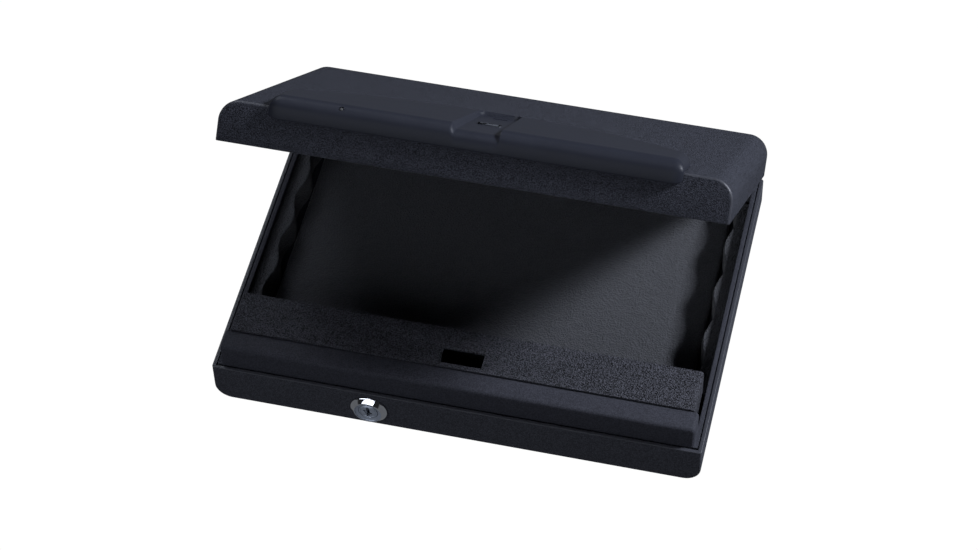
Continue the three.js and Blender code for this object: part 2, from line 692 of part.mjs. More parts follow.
const pinSlot = CAM_PIN_RADIUS + RUN;
const latchBolt = cut(
  join(
    block(TAIL_LEFT, armLeft + 6, BOLT_FRONT, BOLT_BACK, tailBottom, tailTop),
    block(armLeft, armLeft + 9, BOLT_FRONT, BOLT_BACK, tailBottom, BOLT_ARM_TOP),
    block(armLeft, noseEnd - BOLT_NOSE_LENGTH, BOLT_FRONT, BOLT_BACK, ARM_BOTTOM, BOLT_ARM_TOP),
    block(armLeft, noseEnd, BOLT_FRONT, BOLT_BACK, BOLT_ARM_TOP - BOLT_NOSE_HEIGHT, BOLT_ARM_TOP),
  ),
  guideSlot(UPPER_SCREW_X, upperScrewZ),
  guideSlot(LOWER_SCREW_X, lowerScrewZ),
  block(
    pinX - pinSlot, pinX + pinSlot, BOLT_FRONT - 1, BOLT_BACK + 1,
    pinZ - pinSlot, LOCK_Z + CAM_ARM + pinSlot,
  ),
);
piece("latch_bolt", latchBolt, ZINC);

const guideFront = BOLT_BACK + 2 * CLEAR;
const guideLeft = TAIL_LEFT + BOLT_TRAVEL + 2 * RUN;
const boltGuide = cut(
  join(
    block(guideLeft, noseEnd - 1, guideFront, guideFront + GUIDE_SHEET, FLOOR_TOP, tailTop),
    block(armLeft, noseEnd - 1, guideFront, guideFront + GUIDE_SHEET, FLOOR_TOP, BOLT_ARM_TOP - 0.4),
    block(
      guideLeft, noseEnd - 1, guideFront, guideFront + GUIDE_FOOT, FLOOR_TOP, FLOOR_TOP + GUIDE_SHEET,
    ),
  ),
  rod(GUIDE_SCREW_RADIUS + CLEAR, [UPPER_SCREW_X, guideFront - 1, upperScrewZ], [0, 1, 0], 6, 16),
  rod(GUIDE_SCREW_RADIUS + CLEAR, [LOWER_SCREW_X, guideFront - 1, lowerScrewZ], [0, 1, 0], 6, 16),
  block(pinX - 6, pinX + BOLT_TRAVEL + 6, guideFront - 1, guideFront + 4, pinZ - 4, pinZ + 4),
);
piece("bolt_guide", boltGuide, ZINC);

for (const [name, x, z] of [
  ["guide_screw_upper", UPPER_SCREW_X, upperScrewZ],
  ["guide_screw_lower", LOWER_SCREW_X, lowerScrewZ],
]) {
  const start = guideFront + GUIDE_SHEET + 1;
  const length = start - (BOLT_FRONT - CLEAR);
  piece(name, screw([x, start, z], [0, -1, 0], length, GUIDE_SCREW_RADIUS, GUIDE_SCREW_HEAD), ZINC);
}

// Solenoid: a bracket, a coil and the plunger that pulls the bolt, with a return spring on it.
const plungerZ = TAIL_MIDDLE - 0.6;
const solenoidRight = TAIL_LEFT - SOLENOID_GAP;
const solenoidLeft = solenoidRight - SOLENOID_LENGTH;
const bracketHalf = COIL_RADIUS + 0.8;
const solenoidFrame = cut(
  join(
    block(
      solenoidLeft, solenoidLeft + GUIDE_SHEET, SLOT_Y - bracketHalf, SLOT_Y + bracketHalf,
      FLOOR_TOP, plungerZ + bracketHalf,
    ),
    block(
      solenoidRight - GUIDE_SHEET, solenoidRight, SLOT_Y - bracketHalf, SLOT_Y + bracketHalf,
      FLOOR_TOP, plungerZ + bracketHalf,
    ),
    block(
      solenoidLeft, solenoidRight, SLOT_Y - bracketHalf, SLOT_Y + bracketHalf,
      FLOOR_TOP, FLOOR_TOP + GUIDE_SHEET,
    ),
  ),
  rod(PLUNGER_RADIUS + CLEAR, [solenoidRight - 3, SLOT_Y, plungerZ], [1, 0, 0], 6, 20),
);
piece("solenoid_frame", solenoidFrame, ZINC);
const coilLeft = solenoidLeft + GUIDE_SHEET + CLEAR;
const coilRight = solenoidRight - GUIDE_SHEET - CLEAR;
piece(
  "solenoid_coil",
  cut(
    turned(
      [
        [0, 0], [COIL_RADIUS, 0], [COIL_RADIUS, 1.5], [COIL_RADIUS - 1, 1.5],
        [COIL_RADIUS - 1, coilRight - coilLeft - 1.5], [COIL_RADIUS, coilRight - coilLeft - 1.5],
        [COIL_RADIUS, coilRight - coilLeft], [0, coilRight - coilLeft],
      ],
      [coilLeft, SLOT_Y, plungerZ], [1, 0, 0], 24,
    ),
    rod(PLUNGER_RADIUS + CLEAR, [coilLeft + 3, SLOT_Y, plungerZ], [1, 0, 0], 60, 20),
  ),
  { color: 0x7a3b1e, roughness: 0.5, metalness: 0.3 },
);
piece(
  "solenoid_plunger",
  turned(
    [
      [0, 0], [PLUNGER_RADIUS - 0.5, 0], [PLUNGER_RADIUS, 0.5], [PLUNGER_RADIUS, PLUNGER_LENGTH],
      [0, PLUNGER_LENGTH],
    ],
    [TAIL_LEFT - CLEAR - PLUNGER_LENGTH, SLOT_Y, plungerZ], [1, 0, 0], 20,
  ),
  ZINC,
);

// The return spring is one unbroken coil between the solenoid and the bolt.
function coilSpring(from, to) {
  class Helix extends THREE.Curve {
    getPoint(t, target = new THREE.Vector3()) {
      const a = 2 * Math.PI * SPRING_TURNS * t;
      const x = from + SPRING_WIRE + (to - from - 2 * SPRING_WIRE) * t;
      return target.set(x, SLOT_Y + SPRING_RADIUS * Math.cos(a), plungerZ + SPRING_RADIUS * Math.sin(a));
    }
  }
  const wire = new THREE.Shape();
  wire.absarc(0, 0, SPRING_WIRE, 0, 2 * Math.PI, false);
  const g = new THREE.ExtrudeGeometry(wire, {
    steps: SPRING_TURNS * 12, curveSegments: 3, extrudePath: new Helix(),
  });
  return solidOf(g);
}
piece("bolt_spring", coilSpring(solenoidRight + CLEAR, TAIL_LEFT - CLEAR), ZINC);

// Electronics tray: battery bay and four posts for the circuit board.
const trayFront = RISER_FRONT + SHEET + FRAME_FRONT_FLANGE + CLEAR;
const trayBack = PLATE_BACK - SHEET - CLEAR;
const trayRight = FRAME_INNER - FRAME_FLANGE - CLEAR;
const bayLeft = trayRight - 2 * TRAY_WALL - CELL_LENGTH - 2;
const cellPitch = 2 * CELL_RADIUS + 0.4;
const bayMiddle = (trayFront + trayBack) / 2;
const bayHalf = (trayBack - trayFront) / 2;
const cellBottom = FLOOR_TOP + TRAY_WALL + CLEAR;
const boardBottom = FLOOR_TOP + TRAY_WALL + STANDOFF_HEIGHT;
const trayLeft = SLOT_WIDTH / 2 + TRAY_ROOM;
const boardLeft = trayLeft + BOARD_MARGIN;
const boardRight = bayLeft - BOARD_GAP;
const boardFront = bayMiddle - bayHalf + BOARD_MARGIN;
const boardBack = bayMiddle + bayHalf - BOARD_MARGIN;
const postX = [boardLeft + POST_MARGIN, boardRight - POST_MARGIN];
const postY = [boardFront + POST_MARGIN + POST_RADIUS, boardBack - POST_MARGIN - POST_RADIUS];
const postLength = TRAY_WALL + STANDOFF_HEIGHT - 1 - CLEAR;
const boardTray = join(
  block(trayLeft, trayRight, bayMiddle - bayHalf, bayMiddle + bayHalf, FLOOR_TOP, FLOOR_TOP + TRAY_WALL),
  cut(
    block(
      bayLeft, trayRight, bayMiddle - bayHalf, bayMiddle + bayHalf,
      FLOOR_TOP, cellBottom + CELL_RADIUS,
    ),
    block(
      bayLeft + TRAY_WALL, trayRight - TRAY_WALL, bayMiddle - bayHalf + 1.2, bayMiddle + bayHalf - 1.2,
      FLOOR_TOP + TRAY_WALL, BASE_HEIGHT,
    ),
  ),
  ...postX.flatMap((x) =>
    postY.map((y) => rod(POST_RADIUS, [x, y, FLOOR_TOP + 1], [0, 0, 1], postLength, 12)),
  ),
);
piece("board_tray", boardTray, PLASTIC);
const boardTopFace = boardBottom + BOARD_THICKNESS;
const chipLeft = boardLeft + CHIP_SIZE / 2 + BOARD_MARGIN;
const relayRight = boardRight - 2 * BOARD_MARGIN;
piece(
  "circuit_board",
  join(
    block(boardLeft, boardRight, boardFront, boardBack, boardBottom, boardTopFace),
    block(
      chipLeft, chipLeft + CHIP_SIZE, bayMiddle - CHIP_SIZE / 2, bayMiddle + CHIP_SIZE / 2,
      boardBottom + 1, boardTopFace + 2.2,
    ),
    block(
      relayRight - RELAY_LENGTH, relayRight, bayMiddle + 2 - RELAY_WIDTH, bayMiddle + 2,
      boardBottom + 1, boardTopFace + RELAY_HEIGHT,
    ),
    rod(
      CAPACITOR_RADIUS, [relayRight - RELAY_LENGTH / 2, bayMiddle + 9, boardBottom + 1],
      [0, 0, 1], CAPACITOR_HEIGHT + 1, 14,
    ),
  ),
  { color: 0x1f4a2c, roughness: 0.5, metalness: 0.1 },
);
const cellStart = trayRight - TRAY_WALL - 1 - CELL_LENGTH;
[[-0.5, 0], [0.5, 0], [-0.5, 1], [0.5, 1]].forEach(([across, layer], i) => {
  const flip = i % 2;
  const shape = [
    [0, 0], [CELL_RADIUS, 0], [CELL_RADIUS, CELL_LENGTH - 1.6], [2.7, CELL_LENGTH - 1.6],
    [2.7, CELL_LENGTH], [0, CELL_LENGTH],
  ];
  const at = [
    flip ? cellStart + CELL_LENGTH : cellStart,
    bayMiddle + across * cellPitch,
    cellBottom + CELL_RADIUS + layer * cellPitch,
  ];
  piece(
    "battery_" + (i + 1), turned(shape, at, [flip ? -1 : 1, 0, 0], 16),
    { color: 0x6d7f45, roughness: 0.4, metalness: 0.3 },
  );
});

// Continuous hinge: two leaves with interleaved knuckles on one pin.
const knuckleLength = HINGE_LENGTH / KNUCKLES;

function hingeLeaf(up, parity) {
  const near = up * (KNUCKLE_RADIUS + RUN);
  const far = up * LEAF_HEIGHT;
  const y0 = BACK + CLEAR;
  const span = (a, b) => [HINGE_Z + Math.min(a, b), HINGE_Z + Math.max(a, b)];
  let leaf = block(-HINGE_LENGTH / 2, HINGE_LENGTH / 2, y0, y0 + LEAF, ...span(near, far));
  for (let i = 0; i < KNUCKLES; i++) {
    if (i % 2 !== parity) continue;
    const x0 = -HINGE_LENGTH / 2 + i * knuckleLength + CLEAR / 2;
    const length = knuckleLength - CLEAR;
    leaf = join(
      leaf,
      block(x0, x0 + length, y0, y0 + LEAF, ...span(0, near + up * 0.5)),
      rod(KNUCKLE_RADIUS, [x0, HINGE_Y, HINGE_Z], [1, 0, 0], length, 12),
    );
  }
  const bore = rod(KNUCKLE_BORE, [-HALF, HINGE_Y, HINGE_Z], [1, 0, 0], WIDTH, 12);
  return leaf.subtract(bore);
}

piece(
  "hinge_base_leaf",
  cut(hingeLeaf(-1, 0), ...rivetX.map((x) => rivetHole(x, baseRivetZ))),
  STEEL,
);
piece(
  "hinge_pin",
  rod(PIN_RADIUS, [-HINGE_LENGTH / 2, HINGE_Y, HINGE_Z], [1, 0, 0], HINGE_LENGTH, 12),
  ZINC,
);

// A rivet with a dome outside and a flat set head inside the plate.
function rivet(x, z) {
  const inside = BACK - SHEET - CLEAR - 0.8;
  const outside = BACK + 2 * CLEAR + LEAF - inside;
  return turned(
    [
      [0, 0], [RIVET_RADIUS + 1, 0], [RIVET_RADIUS + 1, 0.8], [RIVET_RADIUS, 0.8],
      [RIVET_RADIUS, outside], [RIVET_HEAD, outside], [RIVET_HEAD * 0.8, outside + 0.7],
      [RIVET_HEAD * 0.4, outside + 1.1], [0, outside + 1.2],
    ],
    [x, inside, z], [0, 1, 0], 12,
  );
}
rivetX.forEach((x, i) => piece("base_rivet_" + (i + 1), rivet(x, baseRivetZ), STEEL));

// Lid, built closed

// The studs of the moulded cover and the striker's screws pass through the lid.
const bossX = COVER_HALF - BOSS_INSET;
const coverBosses = [
  [-bossX, FRONT + 14], [bossX, FRONT + 14], [-BOSS_REAR_X, FRONT + 48], [BOSS_REAR_X, FRONT + 48],
];
const strikerX = [-STRIKER_SCREW_LEFT, STRIKER_SCREW_RIGHT];
const screwHole = (x, y) => rod(SCREW_RADIUS + CLEAR, [x, y, LID_TOP - 6], [0, 0, 1], 12, 16);
const wireHole = rod(3, [BAY_X, FRONT + SENSOR_SETBACK + 14, LID_TOP - 6], [0, 0, 1], 12, 16);
const lidShell = cut(
  trayBlock(HALF, FRONT, BACK, LID_BOTTOM, LID_TOP, LID_CORNER, LID_FOLD),
  sweepY(
    trayOutline(HALF - SHEET, LID_BOTTOM + HEM_DEPTH, LID_TOP - SHEET, LID_CORNER - SHEET),
    FRONT + SHEET,
    BACK - SHEET,
  ),
  block(
    HEM - HALF, HALF - HEM, FRONT + HEM, BACK - HEM,
    LID_BOTTOM - 1, LID_BOTTOM + HEM_DEPTH + 1,
  ),
  ...coverBosses.map(([x, y]) => screwHole(x, y)),
  ...strikerX.map((x) => screwHole(x, SLOT_Y)),
  wireHole,
  ...rivetX.map((x) => rivetHole(x, lidRivetZ)),
);
piece("lid_shell", lidShell, STEEL, lid);

const lidCeiling = LID_TOP - SHEET;
const lidFoamFront = PLATE_BACK + LID_FOAM_MARGIN / 2;
piece(
  "lid_foam",
  cut(
    block(
      LID_CORNER - HALF, HALF - LID_CORNER, lidFoamFront, BACK - LID_FOAM_MARGIN,
      lidCeiling - CLEAR - LID_FOAM, lidCeiling - CLEAR,
    ),
    ...coverBosses.map(([x, y]) => rod(SCREW_HEAD + 1, [x, y, lidCeiling - 4], [0, 0, 1], 5, 16)),
  ),
  FOAM, lid,
);

// Striker: a hooked tongue that drops through the slot, on a plate screwed to the lid.
const notchBottom = BOLT_ARM_TOP - BOLT_NOSE_HEIGHT - 2 * CLEAR;
const strikerTop = lidCeiling - CLEAR;
const stemLeft = SLOT_WIDTH / 2 - STRIKER_ROOM - STRIKER_STEM;
const strikerFront = SLOT_Y - STRIKER_THICKNESS / 2;
const strikerBack = SLOT_Y + STRIKER_THICKNESS / 2;
const striker = cut(
  join(
    block(
      stemLeft, stemLeft + STRIKER_STEM, strikerFront, strikerBack,
      notchBottom - STRIKER_FOOT, strikerTop - STRIKER_PLATE / 2,
    ),
    block(
      stemLeft - STRIKER_REACH, stemLeft + STRIKER_STEM, strikerFront, strikerBack,
      notchBottom - STRIKER_FOOT, notchBottom,
    ),
    block(
      strikerX[0] - STRIKER_HEM, strikerX[1] + STRIKER_HEM, SLOT_Y - STRIKER_HEM - 1,
      SLOT_Y + STRIKER_HEM + 1, strikerTop - STRIKER_PLATE, strikerTop,
    ),
  ),
  ...strikerX.map((x) => rod(SCREW_RADIUS + CLEAR, [x, SLOT_Y, strikerTop - 3], [0, 0, 1], 5, 16)),
);
piece("striker", striker, ZINC, lid);
const strikerScrewTip = LID_TOP + 0.6;
strikerX.forEach((x, i) =>
  piece(
    "striker_screw_" + (i + 1),
    screw([x, SLOT_Y, strikerScrewTip], [0, 0, -1], strikerScrewTip - (strikerTop - STRIKER_PLATE - CLEAR)),
    ZINC, lid,
  ),
);

piece(
  "hinge_lid_leaf",
  cut(hingeLeaf(1, 1), ...rivetX.map((x) => rivetHole(x, lidRivetZ))),
  STEEL, lid,
);
rivetX.forEach((x, i) => piece("lid_rivet_" + (i + 1), rivet(x, lidRivetZ), STEEL, lid));

// Moulded cover: a shell lofted across the lid. Its front wraps the edge of the skirt, its back
// edge bows towards the hinge and thins out, and a finger bay runs back from the front.
function coverBack(x, half) {
  const share = Math.min(1, Math.abs(x) / half);
  return FRONT + COVER_END_DEPTH + (COVER_MID_DEPTH - COVER_END_DEPTH) * (1 - share ** COVER_BOW);
}

function coverRing(x, half, end, inset) {
  const over = Math.max(0, Math.abs(x) - (half - end)) / end;
  const swell = Math.sqrt(Math.max(0.012, 1 - over * over));
  const proud = FRONT - (COVER_PROUD - inset) * swell;
  const top = LID_TOP + (COVER_HEIGHT - inset) * swell;
  const lip = LID_TOP - COVER_LIP * (0.55 + 0.45 * swell) + inset;
  const back = coverBack(x, half) - (1 - swell) * end * 1.2 - inset;
  const nose = (COVER_NOSE - inset) * swell;
  const tail = COVER_TAIL * swell;
  const drop = top - (LID_TOP - 2);
  const rear = [0, 0.25, 0.5, 0.75, 1].map((t) => [
    back - tail * (1 - Math.sin((t * Math.PI) / 2)), top - drop * (1 - Math.cos((t * Math.PI) / 2)) * 0.72,
  ]);
  return [
    [FRONT + 6, lip], [proud + 0.8 * swell, lip], [proud, lip + 0.8 * swell],
    ...arc(proud + nose, top - nose, nose, 180, 90, 6),
    ...rear,
    [back, LID_TOP - 2], [FRONT + 6, LID_TOP - 2],
  ].map(([y, z]) => new THREE.Vector3(x, y, z));
}

function coverLoft(half, inset) {
  const end = COVER_END - inset / 2;
  const steps = [];
  for (let i = 0; i <= 5; i++) steps.push(half - end * (1 - Math.sin((i * Math.PI) / 10)));
  const inner = [];
  for (let i = 1; i <= 7; i++) inner.push(((half - end) * i) / 8);
  const right = [...inner, ...steps];
  const stations = [...right.map((x) => -x).reverse(), 0, ...right];
  return loft(stations.map((x) => coverRing(x, half, end, inset)));
}

const bayFloor = LID_TOP + COVER_HEIGHT - BAY_DEPTH;
const bayBack = FRONT + BAY_LENGTH;
const bayLeftEdge = BAY_X - BAY_WIDTH / 2;
const bayRightEdge = BAY_X + BAY_WIDTH / 2;
const floorUnder = bayFloor - BAY_FLOOR_WALL;

// The finger bay: its floor is the cover's own front profile, lowered by the bay's depth, so that it
// runs out down the nose, and its back corners are round.
function bayCut() {
  const above = LID_TOP + 40;
  const ahead = FRONT - 20;
  const noseZ = LID_TOP + COVER_HEIGHT - COVER_NOSE - BAY_DEPTH;
  const profile = [
    [ahead, noseZ],
    ...arc(FRONT - COVER_PROUD + COVER_NOSE, noseZ, COVER_NOSE, 180, 90, 6),
    [bayBack, bayFloor], [bayBack, above], [ahead, above],
  ];
  const plan = [
    [bayRightEdge, ahead],
    ...arc(bayRightEdge - BAY_CORNER, bayBack - BAY_CORNER, BAY_CORNER, 0, 90, 4),
    ...arc(bayLeftEdge + BAY_CORNER, bayBack - BAY_CORNER, BAY_CORNER, 90, 180, 4),
    [bayLeftEdge, ahead],
  ];
  return sweepX(profile, -COVER_HALF, COVER_HALF).intersect(sweepZ(plan, LID_BOTTOM, above));
}

const lampAim = new THREE.Vector3(0, -1, 1).normalize();
const lampSeat = [
  LAMP_INSET - COVER_HALF, FRONT - COVER_PROUD + COVER_NOSE, LID_TOP + COVER_HEIGHT - COVER_NOSE,
];
const sensorY = FRONT + SENSOR_SETBACK;
const coverHollow = cut(
  coverLoft(COVER_HALF - COVER_WALL, COVER_WALL),
  block(-COVER_HALF, COVER_HALF, FRONT - 20, FRONT + 4, 0, LID_TOP + COVER_HEIGHT),
  block(
    bayLeftEdge - COVER_WALL, bayRightEdge + COVER_WALL, FRONT - 20, bayBack + COVER_WALL,
    floorUnder, LID_TOP + 40,
  ),
  ...coverBosses.map(([x, y]) => rod(BOSS_RADIUS, [x, y, LID_TOP - 10], [0, 0, 1], 40, 16)),
);
const lidKeepOut = trayBlock(
  HALF + CLEAR, FRONT - CLEAR, BACK + CLEAR, LID_BOTTOM - 20, LID_TOP + CLEAR, LID_CORNER, LID_FOLD,
);
const sensorLeft = BAY_X - SENSOR_WIDTH / 2;
const sensorRight = BAY_X + SENSOR_WIDTH / 2;
const guideRibY = FRONT + GUIDE_RIB_SETBACK;
const frontCover = cut(
  join(
    cut(coverLoft(COVER_HALF, 0), lidKeepOut, coverHollow, bayCut()),
    block(
      BAY_X - GUIDE_RIB_WIDTH / 2, BAY_X + GUIDE_RIB_WIDTH / 2, guideRibY, guideRibY + 1.6,
      bayFloor - BAY_FLOOR_WALL / 2, bayFloor + GUIDE_RIB_HEIGHT,
    ),
  ),
  block(
    sensorLeft - CLEAR, sensorRight + CLEAR, sensorY - SENSOR_DEPTH / 2 - CLEAR,
    sensorY + SENSOR_DEPTH / 2 + CLEAR, LID_TOP - 1, LID_TOP + 40,
  ),
  rod(LAMP_RADIUS + CLEAR, lampSeat, lampAim.toArray(), 20, 14),
  ...coverBosses.map(([x, y]) => rod(SCREW_RADIUS + CLEAR, [x, y, LID_TOP - 4], [0, 0, 1], 7.4, 12)),
);
piece("front_cover", frontCover, PLASTIC, lid);

coverBosses.forEach(([x, y], i) =>
  piece(
    "cover_screw_" + (i + 1),
    screw([x, y, LID_TOP + 3], [0, 0, -1], LID_TOP + 3 - (lidCeiling - CLEAR), SCREW_RADIUS, SCREW_HEAD),
    ZINC, lid,
  ),
);
const boardTop = floorUnder - CLEAR;
piece(
  "swipe_sensor",
  block(
    sensorLeft, sensorRight, sensorY - SENSOR_DEPTH / 2, sensorY + SENSOR_DEPTH / 2,
    boardTop + CLEAR, bayFloor + 0.5,
  ),
  { color: 0x3a3f45, roughness: 0.25, metalness: 0.6 }, lid,
);
piece(
  "sensor_board",
  block(
    sensorLeft - CLEAR, sensorRight + CLEAR, sensorY - 12, sensorY + 10, LID_TOP + CLEAR, boardTop,
  ),
  { color: 0x1f4a2c, roughness: 0.5, metalness: 0.1 }, lid,
);
const lampRoot = LID_FOLD + 2 * CLEAR;
piece(
  "status_lamp",
  turned(
    [
      [0, lampRoot], [LAMP_RADIUS, lampRoot], [LAMP_RADIUS, COVER_NOSE - 0.9],
      [LAMP_RADIUS * 0.6, COVER_NOSE - 0.3], [0, COVER_NOSE - 0.1],
    ],
    lampSeat, lampAim.toArray(), 14,
  ),
  { color: 0x1a1a1c, roughness: 0.2, metalness: 0 }, lid,
);

export default safe;
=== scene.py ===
"""Portable car safe: the dressed model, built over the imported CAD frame.

Metres, +Z up, +X to the right, +Y to the back, origin at the centre of the underside. Pieces of the
lid are modelled with the lid shut and then turned open about the hinge, as they stand at rest.
"""
import logging
import math
from contextlib import contextmanager
from dataclasses import dataclass
from enum import Enum
from typing import Callable, Iterator, Sequence

import bmesh
import bpy
import numpy as np
from mathutils import Matrix, Vector, noise


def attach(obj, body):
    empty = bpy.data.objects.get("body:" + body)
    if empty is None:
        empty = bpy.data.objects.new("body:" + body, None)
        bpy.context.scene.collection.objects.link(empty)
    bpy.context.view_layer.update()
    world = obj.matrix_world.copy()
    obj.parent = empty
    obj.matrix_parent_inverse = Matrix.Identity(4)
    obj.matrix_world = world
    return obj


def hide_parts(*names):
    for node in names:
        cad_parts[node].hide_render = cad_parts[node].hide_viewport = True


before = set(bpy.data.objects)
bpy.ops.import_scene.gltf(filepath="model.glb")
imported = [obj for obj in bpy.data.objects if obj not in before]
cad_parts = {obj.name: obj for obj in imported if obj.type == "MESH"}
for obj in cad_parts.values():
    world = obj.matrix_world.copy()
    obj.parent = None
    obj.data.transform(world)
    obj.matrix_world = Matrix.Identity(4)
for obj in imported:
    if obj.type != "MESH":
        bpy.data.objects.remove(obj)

logging.basicConfig(level=logging.INFO, format="%(message)s")
log = logging.getLogger("car_safe")

Point = tuple[float, float, float]
Colour = tuple[float, float, float]
Obj = bpy.types.Object
Socket = bpy.types.NodeSocket
Material = bpy.types.Material

RIGHT, BACK, UP = (1, 0, 0), (0, 1, 0), (0, 0, 1)
NOSE_WAY = (0, -1, 1)


class Body(Enum):
    """The bodies of the frame that a piece can ride on."""

    BASE = "base"
    LID = "lid"
    KEY_PLUG = "key_plug"
    BOLT = "bolt"


class Slot(Enum):
    """The record's material slots."""

    SHELL = "shell_steel"
    PLATE = "plate_steel"
    COVER = "cover_plastic"
    TRAY = "tray_plastic"
    FOAM = "foam"
    CHROME = "lock_chrome"
    PLUG = "plug_metal"
    ZINC = "zinc"
    SENSOR = "sensor"
    LAMP = "lamp"


class Cut(Enum):
    """What a boolean does with its second mesh."""

    AWAY = "DIFFERENCE"
    JOIN = "UNION"


class Reach(Enum):
    """What edit mode selects."""

    POINTS = "VERT"
    EDGES = "EDGE"
    FACES = "FACE"


@dataclass(frozen=True)
class Safe:
    """Sizes that several sub-assemblies share."""

    half: float = 0.140
    front: float = -0.101
    back: float = 0.101
    rim: float = 0.0272
    lid_rim: float = 0.0276
    lid_top: float = 0.0510
    sheet: float = 0.0012
    hem: float = 0.0022
    hem_depth: float = 0.005
    clear: float = 0.0003
    hinge_y: float = 0.1037
    hinge_z: float = 0.0274
    open_deg: float = 41.5
    slot_y: float = -0.0769
    rivets: tuple[float, ...] = (-0.099, -0.033, 0.033, 0.099)
    base_rivet_z: float = 0.018
    lid_rivet_z: float = 0.0368
    rivet_hole: float = 0.0019
    screw_hole: float = 0.0022
    foot_y: float = -0.0532
    foot_screws: tuple[float, ...] = (-0.090, 0.0, 0.090)
    studs: tuple[tuple[float, float], ...] = (
        (-0.084, -0.087), (0.084, -0.087), (-0.040, -0.053), (0.040, -0.053),
    )
    striker_screws: tuple[float, ...] = (-0.010, 0.016)

    @property
    def opening(self) -> Matrix:
        """The turn that takes the shut lid to where it stands at rest."""
        hinge = Matrix.Translation((0, self.hinge_y, self.hinge_z))
        return hinge @ Matrix.Rotation(math.radians(-self.open_deg), 4, "X") @ hinge.inverted()


SAFE = Safe()


# Work at the bench

def only(obj: Obj) -> None:
    """Selects one object alone and makes it the active one.

    Args:
        obj: The object.
    """
    bpy.ops.object.select_all(action="DESELECT")
    obj.select_set(True)
    bpy.context.view_layer.objects.active = obj


@contextmanager
def editing(obj: Obj, reach: Reach) -> Iterator[bmesh.types.BMesh]:
    """Opens an object in edit mode with nothing selected.

    Args:
        obj: The mesh object to shape.
        reach: What is selected.

    Returns:
        The edit mesh, on which faces, edges or vertices are picked in code.
    """
    only(obj)
    bpy.ops.object.mode_set(mode="EDIT")
    bpy.ops.mesh.select_mode(type=reach.value)
    bpy.ops.mesh.select_all(action="DESELECT")
    yield bmesh.from_edit_mesh(obj.data)
    bpy.ops.object.mode_set(mode="OBJECT")


def pick(mesh: bmesh.types.BMesh, elements: Sequence[object], test: Callable[..., bool]) -> None:
    """Selects the faces or edges of an edit mesh that pass a test.

    Args:
        mesh: The edit mesh.
        elements: Its faces or its edges.
        test: Says of each whether it is selected.
    """
    for element in elements:
        if test(element):
            element.select_set(True)
    mesh.select_flush_mode()


def rounded(obj: Obj, width: float, segments: int, test: Callable[[bmesh.types.BMEdge], bool]) -> None:
    """Rounds the edges that pass a test.

    Args:
        obj: The mesh object to shape.
        width: How wide the rounding is.
        segments: How many faces it has.
        test: Says of each edge whether it is rounded.
    """
    with editing(obj, Reach.EDGES) as mesh:
        pick(mesh, mesh.edges, test)
        bpy.ops.mesh.bevel(offset=width, segments=segments, affect="EDGES", clamp_overlap=True)


def pick_open_edges() -> None:
    """Selects the edges where a surface ends."""
    bpy.ops.mesh.select_non_manifold(
        extend=False, use_wire=False, use_multi_face=False, use_non_contiguous=False, use_verts=False
    )


def along(edge: bmesh.types.BMEdge, axis: int) -> bool:
    """Whether an edge runs along an axis.

    Args:
        edge: The edge.
        axis: 0, 1 or 2 for X, Y or Z.

    Returns:
        True where it does.
    """
    a, b = (v.co for v in edge.verts)
    d = b - a
    return d.length > 1e-7 and abs(d[axis]) > 0.999 * d.length


def lies_at(edge: bmesh.types.BMEdge, axis: int, place: float) -> bool:
    """Whether both ends of an edge lie at a place along an axis."""
    return all(abs(v.co[axis] - place) < 2e-5 for v in edge.verts)


def cube(name: str, low: Sequence[float], high: Sequence[float]) -> Obj:
    """Adds a cube between two corners.

    Args:
        name: The new object's name.
        low: Its lowest corner.
        high: Its highest corner.

    Returns:
        The cube, at the origin with its place in its mesh.
    """
    bpy.ops.object.select_all(action="DESELECT")
    middle = [(a + b) / 2 for a, b in zip(low, high)]
    size = [b - a for a, b in zip(low, high)]
    bpy.ops.mesh.primitive_cube_add(size=1, location=middle, scale=size)
    made = bpy.context.object
    bpy.ops.object.transform_apply(location=True, rotation=True, scale=True)
    made.name = name
    return made


def rod(
    name: str, radius: float, start: Sequence[float], axis: Sequence[float], length: float, sides: int = 24
) -> Obj:
    """Adds a cylinder from one end point along an axis.

    Args:
        name: The new object's name.
        radius: Its radius.
        start: The centre of its first end.
        axis: The way it runs.
        length: How far it runs.
        sides: How many sides it has.

    Returns:
        The cylinder, at the origin with its place in its mesh.
    """
    bpy.ops.object.select_all(action="DESELECT")
    bpy.ops.mesh.primitive_cylinder_add(vertices=sides, radius=radius, depth=length)
    made = bpy.context.object
    made.name = name
    aim = Vector(axis).normalized()
    turn = Vector((0, 0, 1)).rotation_difference(aim).to_matrix().to_4x4()
    made.data.transform(Matrix.Translation(Vector(start) + aim * length / 2) @ turn)
    return made


